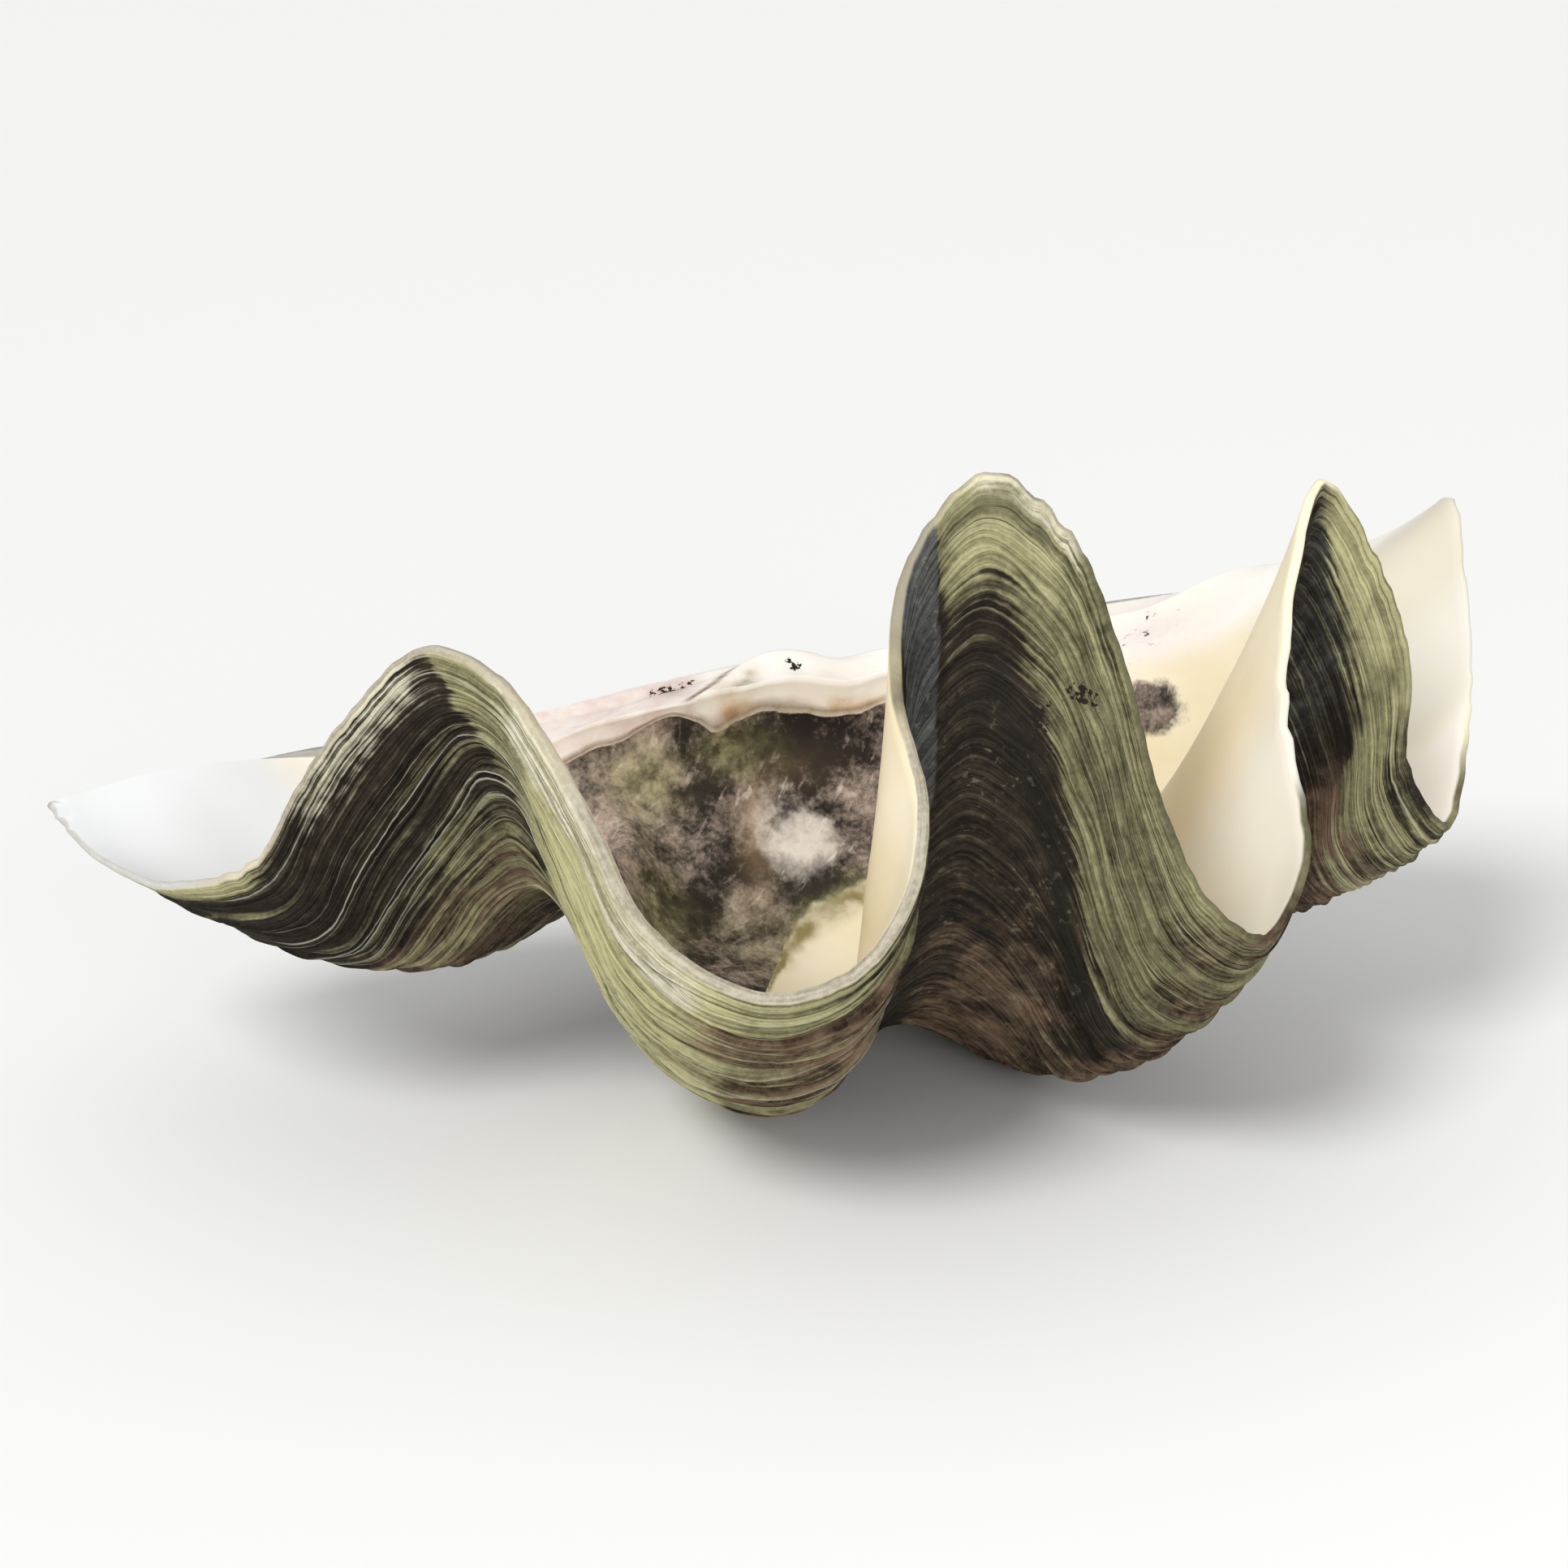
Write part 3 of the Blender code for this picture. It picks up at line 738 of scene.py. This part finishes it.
paint("murky", spots(
    (1.2, (0.030, 0.147, 0.160), (0.050, 0.024, 0.024)),
    (0.9, (-0.016, 0.116, 0.112), (0.012, 0.035, 0.030)),
    (0.8, (-0.030, 0.125, 0.135), (0.022, 0.03, 0.014)),
    (0.8, (-0.030, 0.077, 0.082), (0.016, 0.03, 0.022)),
    (0.9, (0.039, 0.100, 0.088), (0.018, 0.02, 0.010))))

# Hinge plate: chalky, with a rosy bloom, ochre stains under the tooth, seams and pits; the dark seams are
# painted shade along the plate's step and the tooth's sides, with a few brown stains
paint("rosy", np.maximum(
    ease((-0.02 - x) / 0.02) * on_hinge * ease((x + 0.33) / 0.15),
    0.5 * spot((0.245, 0.150, 0.228), (0.05, 0.04, 0.03))))
paint("ochre", on_hinge * spots(
    (1.30, (-0.008, 0.141, 0.190), (0.012, 0.020, 0.008)),
    (1.00, (-0.012, 0.141, 0.200), (0.008, 0.020, 0.006)),
    (0.25, (0.004, 0.146, 0.200), (0.014, 0.020, 0.008)),
    (0.50, (0.028, 0.149, 0.189), (0.016, 0.020, 0.005)),
    (1.50, (0.064, 0.153, 0.187), (0.022, 0.020, 0.005)),
    (0.30, (0.050, 0.160, 0.200), (0.040, 0.02, 0.012))))
from_tooth = x - look_up(TOOTH_SIDE, y)
paint("seam_shade_and_stain", on_hinge * np.maximum.reduce([
    1.2 * hump(from_tooth, -0.001, 0.0036) * ease((y - 0.136) / 0.006) * ease((0.176 - y) / 0.006),
    0.7 * hump(from_tooth, 0.022, 0.004) * ease((y - 0.145) / 0.006) * ease((0.166 - y) / 0.006),
    0.9 * (row == plate_start) * ease((x + 0.13) / 0.02) * ease((0.09 - x) / 0.02),
    0.5 * (row == plate_start + 1) * ease((x + 0.036) / 0.01) * ease((0.05 - x) / 0.03),
    spots(
        (0.50, (-0.048, 0.165, 0.196), (0.022, 0.014, 0.012)),
        (0.35, (0.002, 0.158, 0.206), (0.010, 0.010, 0.006)))]))
# Dark pits: specks on the plate and in the bowl, and painted shade for small holes on the middle crest's
# outer face
paint("pits", np.maximum(0.34 * spot((0.236, 0.150, 0.222), (0.05, 0.03, 0.02)) * in_bowl, spots(
    (0.9, (-0.047, 0.172, 0.196), (0.020, 0.010, 0.01)),
    (1.0, (0.029, 0.164, 0.207), (0.0060, 0.0045, 0.008)),
    (0.8, (0.150, -0.155, 0.281), (0.009, 0.014, 0.010)),
    (0.8, (0.172, -0.170, 0.294), (0.012, 0.014, 0.009)),
    (0.8, (0.114, -0.154, 0.290), (0.016, 0.012, 0.010)))))

# Cream side of the lip, and where the cream turns chalky, bluish, grey and tan: the grey and the tan are
# painted shade, and the chalk low on rib 3's inner face is painted light
paint("creamy_lip", np.maximum(ease((0.20 - here_s) / 0.05), areas(
    (0.75, LEFT_END, 0.10, BEAK, PAST_LIP, 0.02),
    (1.00, 0.09, 0.20, BEAK, PAST_LIP, 0.02),
    (0.60, 0.19, 0.26, BEAK, PAST_LIP, 0.02),
    (1.00, 0.24, 0.405, BEAK, PAST_LIP, 0.02),
    (0.35, 0.41, 0.47, BEAK, PAST_LIP, 0.02),
    (1.00, 0.655, 0.742, BEAK, PAST_LIP, 0.012),
    (1.00, 0.872, RIGHT_END, BEAK, PAST_LIP, 0.02))))
paint("chalk_and_painted_light", np.maximum.reduce([
    0.95 * on_hinge,
    in_bowl * areas(
        (0.9, 0.955, RIGHT_END, BEAK, PAST_LIP, 0.03),
        (0.6, LEFT_END, 0.06, BEAK, PAST_LIP, 0.04),
        # Painted light: lighter low on rib 3's inner face
        (1.0, 0.83, 0.885, 0.70, PAST_LIP, 0.02, 0.1)),
    0.9 * in_bowl * area(0.60, RIGHT_END, BEAK, 0.70, 0.10, 0.10) * ease((y - 0.10) / 0.04),
    1.0 * (row < starts[1]),
    ease((0.165 - here_s) / 0.03) * on_outer,
    ease((0.024 - here_u) / 0.012) * (row < starts[2]),
    ease((here_u - 0.976) / 0.012) * (row < starts[2])]))
paint("bluish", areas(
    (1.0, LEFT_END, 0.085, 0.70, PAST_LIP, 0.03, 0.10),
    (0.4, 0.885, 0.920, 0.80, PAST_LIP, 0.02, 0.05),
    (0.5, 0.595, 0.685, 0.80, PAST_LIP, 0.04, 0.10)))
# Painted shade: grey over the inner face of rib 3 towards the right end and, weaker, at the left end
paint("grey_shade_inside", areas(
    (0.80, 0.888, RIGHT_END, 0.80, PAST_LIP, 0.02, 0.10),
    (0.25, LEFT_END, 0.09, 0.5, PAST_LIP, 0.03, 0.1)))
# Painted shade with a tan cast in the upper left of rib 2's inner face
paint("tan", 0.8 * spot((0.246, -0.050, 0.225), (0.030, 0.05, 0.06)) * in_bowl)
paint("worn", areas(
    (1.0, 0.105, 0.41, 0.3, PAST_LIP, 0.03, 0.1),
    (0.5, LEFT_END, 0.12, 0.3, PAST_LIP, 0.03, 0.1)))


def close_strip(work, first, second):
    """Triangles between two chains of vertices, always along the shorter diagonal."""
    i = 0
    j = 0
    while i < len(first) - 1 or j < len(second) - 1:
        step_first = math.inf
        step_second = math.inf
        if i < len(first) - 1:
            step_first = (first[i + 1].co - second[j].co).length
        if j < len(second) - 1:
            step_second = (first[i].co - second[j + 1].co).length
        if step_first <= step_second:
            corners = (first[i], first[i + 1], second[j])
            i += 1
        else:
            corners = (first[i], second[j + 1], second[j])
            j += 1
        if len(set(corners)) == 3 and not work.faces.get(corners):
            work.faces.new(corners).smooth = True


# The two narrow ends of the skin are closed, with a sharp rim, and doubled points merged
MERGE_REACH = 0.00002
work = bmesh.new()
work.from_mesh(mesh)
work.verts.ensure_lookup_table()
number = np.zeros((len(skin), ACROSS + 1), int)
number[row, column] = np.arange(len(row))
for end in (0, ACROSS):
    points = [work.verts[k] for k in number[:, end]]
    outside_chain = [points[0]] + points[starts[1]:starts[2]]
    plate_chain = points[starts[5]:starts[6]][::-1] + [points[starts[5] - 1]]
    inside_chain = [points[0]] + plate_chain + points[starts[3]:starts[4]][::-1]
    lip_chain = [outside_chain[-1]] + points[starts[2]:starts[3]] + [inside_chain[-1]]
    close_strip(work, outside_chain, inside_chain)
    for chain in (outside_chain, inside_chain):
        for k in range(len(chain) - 1):
            rim_edge = work.edges.get((chain[k], chain[k + 1]))
            if rim_edge:
                rim_edge.smooth = False
    close_strip(work, lip_chain, [outside_chain[-1], inside_chain[-1]])
bmesh.ops.remove_doubles(work, verts=work.verts, dist=MERGE_REACH)
bmesh.ops.recalc_face_normals(work, faces=work.faces)
work.to_mesh(mesh)
work.free()
bpy.ops.object.select_all(action="DESELECT")
valve.select_set(True)
bpy.context.view_layer.objects.active = valve
bpy.ops.object.shade_smooth()


# The shell's finish: dull olive and brown-black growth bands outside with pale worn edges,
# a smooth cream lip, and a bowl stained by sea and weather, with painted light and shade in places.

# Each pair of colours is the darkest and the lightest that a coat shows
OLIVE_COAT = (0.026, 0.021, 0.009), (0.58, 0.55, 0.29)
DARK_COAT_AND_SHADE = (0.008, 0.005, 0.003), (0.066, 0.052, 0.032)
RUST_COAT = (0.018, 0.010, 0.005), (0.215, 0.142, 0.088)
WALL_SHADE_COAT = (0.018, 0.018, 0.018), (0.135, 0.138, 0.128)
PALE_COAT = (0.22, 0.19, 0.12), (0.76, 0.72, 0.54)
WORN_EDGE_AND_HIGHLIGHT = (0.28, 0.265, 0.19), (0.56, 0.55, 0.45)
CREAM_COAT = (0.78, 0.67, 0.45), (0.84, 0.77, 0.58)
SOOT_COAT = (0.016, 0.012, 0.010), (0.60, 0.47, 0.39)
MOSS_COAT = (0.09, 0.08, 0.03), (0.42, 0.39, 0.20)
CHALKY_OUTSIDE = (0.50, 0.45, 0.38), (0.80, 0.76, 0.70)
WORN_LIP = (0.18, 0.155, 0.11), (0.46, 0.425, 0.34)
PAINTED_SHADE = (0.010, 0.009, 0.006)
CRUMB = (0.30, 0.29, 0.20)
CREVICE_DIRT_AND_SHADE = (0.012, 0.009, 0.006)
GREY_SHADE_CREAM = (0.62, 0.59, 0.50)
TAN_SHADE_CREAM = (0.62, 0.50, 0.32)
CHALK_AND_PAINTED_LIGHT = (0.91, 0.87, 0.81)
BLUE_CREAM = (0.76, 0.77, 0.77)
ROSY_CREAM = (0.66, 0.49, 0.44)
OCHRE = (0.56, 0.34, 0.15)
MOSS_AND_HOLLOW_SHADE_CREAM = (0.25, 0.20, 0.08)
SEAM_SHADE_AND_STAIN = (0.22, 0.13, 0.06)
AMBER = (0.38, 0.26, 0.14)
SCAR = (0.70, 0.63, 0.56)
PIT = (0.016, 0.012, 0.009)
MATT = 0.78
CREAM_SHEEN = 0.34
BUMP_STRENGTH = 0.8
BUMP_DEPTH = 0.0016


class Wire:
    """A value on its way through a material, so that shader sums read like sums."""

    def __init__(self, tree, socket):
        self.tree = tree
        self.socket = socket

    @classmethod
    def node(cls, tree, kind, settings, sockets, out=0):
        """Any node: its settings first, then the values or links of its sockets."""
        made = tree.nodes.new("ShaderNode" + kind)
        for name, value in settings.items():
            setattr(made, name, value)
        for key, value in sockets.items():
            if isinstance(value, Wire):
                tree.links.new(value.socket, made.inputs[key])
            else:
                made.inputs[key].default_value = value
        return cls(tree, made.outputs[out])

    def math(self, operation, *others):
        """A Math node on this value."""
        sockets = {0: self}
        for k, other in enumerate(others):
            sockets[k + 1] = other
        return Wire.node(self.tree, "Math", {"operation": operation}, sockets)

    def __add__(self, other):
        return self.math("ADD", other)

    def __sub__(self, other):
        return self.math("SUBTRACT", other)

    def __rsub__(self, other):
        return Wire.node(self.tree, "Math", {"operation": "SUBTRACT"}, {0: other, 1: self})

    def __mul__(self, other):
        return self.math("MULTIPLY", other)

    __radd__ = __add__
    __rmul__ = __mul__

    def step(self, low, high):
        """Smooth step from 0 at low to 1 at high."""
        sockets = {"Value": self, "From Min": low, "From Max": high}
        return Wire.node(self.tree, "MapRange", {"interpolation_type": "SMOOTHSTEP"}, sockets)

    def colour(self, dark, light):
        """A colour between two colours or wires, by this value."""
        ends = [c if isinstance(c, Wire) else tuple(c) + (1,) for c in (dark, light)]
        return Wire.node(self.tree, "Mix", {"data_type": "RGBA"}, {0: self, 6: ends[0], 7: ends[1]}, 2)


shell = bpy.data.materials.new("clam_shell")
shell.use_nodes = True
tree = shell.node_tree
shader = tree.nodes["Principled BSDF"]


def read(name):
    """A weight painted on the valve's points."""
    return Wire.node(tree, "Attribute", {"attribute_name": name}, {}, 2)


def pattern(x, y, z, detail=3.0, rough=0.55):
    """Soft random pattern on three coordinates."""
    vector = Wire.node(tree, "CombineXYZ", {}, {0: x, 1: y, 2: z})
    sockets = {"Vector": vector, "Scale": 1.0, "Detail": detail, "Roughness": rough}
    return Wire.node(tree, "TexNoise", {}, sockets)


object_place = Wire.node(tree, "TexCoord", {}, {}, 3)
at_x, at_y, at_z = [Wire.node(tree, "SeparateXYZ", {}, {0: object_place}, k) for k in range(3)]


def cloud(scale, detail, rough=0.55):
    """Soft random pattern through the body of the shell, so many waves to a metre."""
    return pattern(at_x * scale, at_y * scale, at_z * scale, detail, rough)


along_margin = read("along")
age = read("age")
line_phase = read("phase")
line_band = read("band")
inner_side = read("inside")
lined = read("lined")
blotch = cloud(11.0, 4.0)
grain = cloud(95.0, 4.0, 0.65)
patch = cloud(34.0, 4.0, 0.6).step(0.34, 0.66)
speck = cloud(330.0, 2.0, 0.6).step(0.36, 0.66)
streaks = pattern(along_margin * 4.0, age * 300.0, blotch * 2.0, 3.0, 0.6).step(0.34, 0.66)
hair = pattern(along_margin * 12.0, age * 950.0, 3.0, 2.0).step(0.36, 0.64)
broad = pattern(along_margin * 7.0, age * 60.0, 9.0, 2.0).step(0.34, 0.66)
either_side = blotch - 0.5
fine = grain - 0.5
mottle = patch - 0.5

# Outer face: a dark coat, partly painted shade in the crests' channels, rusty, painted grey shade and olive
# where painted so, and pale where worn
tone = streaks * 0.42 + hair * 0.22 + line_band * 0.16 + fine * 0.7 + (speck - 0.5) * 0.12 + 0.06
outside = tone.step(0.10, 1.1).colour(*DARK_COAT_AND_SHADE)
rust = tone * 0.9 + fine * 0.6 + mottle * 0.25 + read("light") * 0.5 - 0.05
rusty = (read("rusty") + either_side * 0.9 + mottle * 0.4).step(0.15, 0.8)
outside = rusty.colour(outside, rust.step(0.0, 1.0).colour(*RUST_COAT))
# Painted grey shade on walls turned from the light
wall_shaded = (read("wall_shade") + fine * 0.6).step(0.25, 0.75)
outside = wall_shaded.colour(outside, tone.step(0.0, 1.0).colour(*WALL_SHADE_COAT))
covered = read("olive") + either_side * 0.8 + (streaks - 0.5) * 0.50
covered = covered + (broad - 0.5) * (lined * 0.5 + 0.25) + fine * 0.4
olive = (tone * 0.62 + read("light") * 0.45 - 0.09).step(-0.10, 1.0).colour(*OLIVE_COAT)
outside = covered.step(0.24, 0.80).colour(outside, olive)
paled = (read("pale") + (streaks - 0.5) * 0.5 + fine * 0.6).step(0.30, 0.85)
outside = paled.colour(outside, tone.step(-0.1, 0.9).colour(*PALE_COAT))
# Painted shade, stronger where the streaks run
outside = (read("painted_shade") * (streaks * 0.5 + 0.45)).colour(outside, PAINTED_SHADE)

# The lips' edges are worn light and carry a painted highlight, crumbs of lime lie on the dark coat, and the
# steps hold dirt and painted shade
crumbs = cloud(190.0, 2.0, 0.7).step(0.60, 0.68) * patch * (1.0 - lined.step(0.0, 0.3))
outside = (crumbs * 0.30).colour(outside, CRUMB)
bold = line_band.step(0.45, 0.95) * (lined * 0.8 + 0.2)
# Each lip's edge: partly worn light, partly a painted highlight
worn_edge_and_highlight = (blotch * 0.5 + streaks * 0.25 + fine * 0.9 + lined * 0.22 + bold * 0.75).step(0.50, 1.15)
worn_edge_and_highlight = (line_phase + bold * 0.20).step(0.90, 1.08) * worn_edge_and_highlight
outside = (worn_edge_and_highlight * (lined * 0.96 + 0.04)).colour(outside, bold.colour(*WORN_EDGE_AND_HIGHLIGHT))
# Just behind each lip's edge: partly dirt, partly painted shade
crevice_dirt_and_shade = (streaks * 0.4 + fine * 0.8 + bold * 0.3 + 0.3).step(0.30, 0.80)
crevice_dirt_and_shade = (1.0 - line_phase.step(0.0, 0.22)) * crevice_dirt_and_shade
outside = (crevice_dirt_and_shade * (lined.step(0.0, 0.5) * 0.6 + 0.25)).colour(outside, CREVICE_DIRT_AND_SHADE)

# Inner face: cream, turned by weather and by what has lain on it, and by painted shade and painted light in
# places
chalk_and_painted_light = (read("chalk_and_painted_light") * (patch * 0.3 + 0.8)).step(0.0, 1.0)
half_mottled = grain * 0.5 + patch * 0.5
cream = blotch.step(0.3, 0.7).colour(*CREAM_COAT)
# Painted shade: grey on rib 3's inner face and at the left end, tan on rib 2's
cream = read("grey_shade_inside").colour(cream, GREY_SHADE_CREAM)
cream = (read("tan") * (blotch * 0.8 + 0.4)).colour(cream, TAN_SHADE_CREAM)
cream = chalk_and_painted_light.colour(cream, CHALK_AND_PAINTED_LIGHT)
cream = read("bluish").colour(cream, BLUE_CREAM)
cream = (read("rosy") * half_mottled).colour(cream, ROSY_CREAM)
cream = (read("ochre") * half_mottled).colour(cream, OCHRE)
cream = (read("moss_and_hollow_shade") * (patch * 0.5 + 0.5)).step(0.10, 1.05).colour(cream, MOSS_AND_HOLLOW_SHADE_CREAM)
cream = (read("seam_shade_and_stain") * (grain + 0.3)).colour(cream, SEAM_SHADE_AND_STAIN)

# The stain in the bowl: soot and mud with scratches, moss, an amber ring and the muscle scar
scratch = pattern((at_x + at_y) * 26.0, (at_x - at_y) * 210.0, at_z * 60.0, 2.0).step(0.60, 0.70)
soot = mottle * 0.50 + fine * 0.80 + (speck - 0.5) * 0.22 + either_side * 0.9 + scratch * 0.26 + 0.04
soot = (soot + read("pinkish") * 0.46 - read("murky") * 0.46).step(-0.32, 1.08).colour(*SOOT_COAT)
moss = grain.step(0.3, 0.7).colour(*MOSS_COAT)
soot = (read("moss_and_hollow_shade") * (patch * 0.6 + 0.4)).colour(soot, moss)
soot = (read("amber") * (patch * 0.4 + 0.3)).colour(soot, AMBER)
scarred = (read("scar") * 1.15 + fine * 0.9 + (scratch - 0.5) * 0.25 + mottle * 0.5).step(0.15, 1.15)
dirty = (read("stain") + fine * 0.6 + either_side * 0.3).step(0.38, 0.62)
inner = dirty.colour(cream, scarred.colour(soot, SCAR))

# Both faces meet at the lip, which is cream in some places and coated in others
creamy = read("creamy_lip")
over_lip = inner_side.step(0.0, 0.25) * creamy + inner_side.step(0.72, 1.0) * (1.0 - creamy)
chalky_outside = grain.step(0.3, 0.7).colour(*CHALKY_OUTSIDE)
outside = (chalk_and_painted_light * (1.0 - inner_side)).colour(outside, chalky_outside)
base = over_lip.colour(outside, inner)
worn_lip = inner_side.step(0.02, 0.22) * (1.0 - inner_side.step(0.78, 0.98)) * read("worn")
fringe = pattern(along_margin * 22.0, inner_side * 4.0, 5.0, 3.0).step(0.35, 0.65)
rim_tone = (fringe * 0.40 + (speck - 0.5) * 0.25 + fine * 0.6 + 0.36).step(0.0, 1.0)
base = (worn_lip * creamy * 0.88).colour(base, rim_tone.colour(*WORN_LIP))
base = (read("pits") + fine * 1.3 + (speck - 0.5) * 0.5).step(0.50, 0.72).colour(base, PIT)
tree.links.new(base.socket, shader.inputs["Base Color"])
rough = MATT - over_lip * (1.0 - dirty) * CREAM_SHEEN
tree.links.new(rough.socket, shader.inputs["Roughness"])
shader.inputs["IOR"].default_value = 1.45
shader.inputs["Specular IOR Level"].default_value = 0.22
height = (streaks * 0.40 + hair * 0.20 + grain * 0.45) * (1.0 - over_lip)
height = height + grain * over_lip * (dirty * 0.45 + 0.03)
bump = Wire.node(tree, "Bump", {}, {"Strength": BUMP_STRENGTH, "Distance": BUMP_DEPTH, "Height": height})
tree.links.new(bump.socket, shader.inputs["Normal"])
mesh.materials.clear()
mesh.materials.append(shell)
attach(valve, "root")
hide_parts("clam_valve")


# The picture's stage: a pale floor under the valve, soft daylight from the upper left,
# and the camera where the photographer stood.
FLOOR_SIDE = 60
FLOOR_COLOUR = (0.86, 0.86, 0.85, 1)
FILL_PLACE = (0.9, -2.3, 1.0)
FILL_AIM = (0.1, 0, 0.2)
DAYLIGHT = 1.85
SKY = 0.62
CAMERA_PLACE = (0.04595, -1.51738, 0.74518)
CAMERA_TURN = (math.radians(70), math.radians(2.5), 0)
HALF_VIEW = math.radians(15)
bpy.ops.object.select_all(action="DESELECT")
bpy.ops.mesh.primitive_plane_add(size=FLOOR_SIDE, location=(0, 0, 0))
floor = bpy.context.object
floor.name = "floor"
paper = bpy.data.materials.new("pale_floor")
paper.use_nodes = True
paper_shader = paper.node_tree.nodes["Principled BSDF"]
paper_shader.inputs["Base Color"].default_value = FLOOR_COLOUR
paper_shader.inputs["Roughness"].default_value = 0.9
floor.data.materials.append(paper)

bpy.ops.object.light_add(type="AREA", location=FILL_PLACE)
fill = bpy.context.object
fill.name = "fill"
fill.data.size = 1.2
fill.data.energy = 16
fill.rotation_euler = (Vector(FILL_AIM) - Vector(FILL_PLACE)).to_track_quat("-Z", "Y").to_euler()
bpy.ops.object.light_add(type="SUN", rotation=(math.radians(42), 0, math.radians(-32)))
sun = bpy.context.object
sun.name = "key"
sun.data.energy = DAYLIGHT
sun.data.angle = math.radians(22)
world = bpy.context.scene.world or bpy.data.worlds.new("sky")
bpy.context.scene.world = world
world.use_nodes = True
world.node_tree.nodes["Background"].inputs["Color"].default_value = (1, 1, 1, 1)
world.node_tree.nodes["Background"].inputs["Strength"].default_value = SKY
bpy.context.scene.view_settings.view_transform = "Standard"

bpy.ops.object.camera_add(location=CAMERA_PLACE, rotation=CAMERA_TURN)
camera = bpy.context.object
camera.data.sensor_width = 36
camera.data.lens = 18 / math.tan(HALF_VIEW)
bpy.context.scene.camera = camera
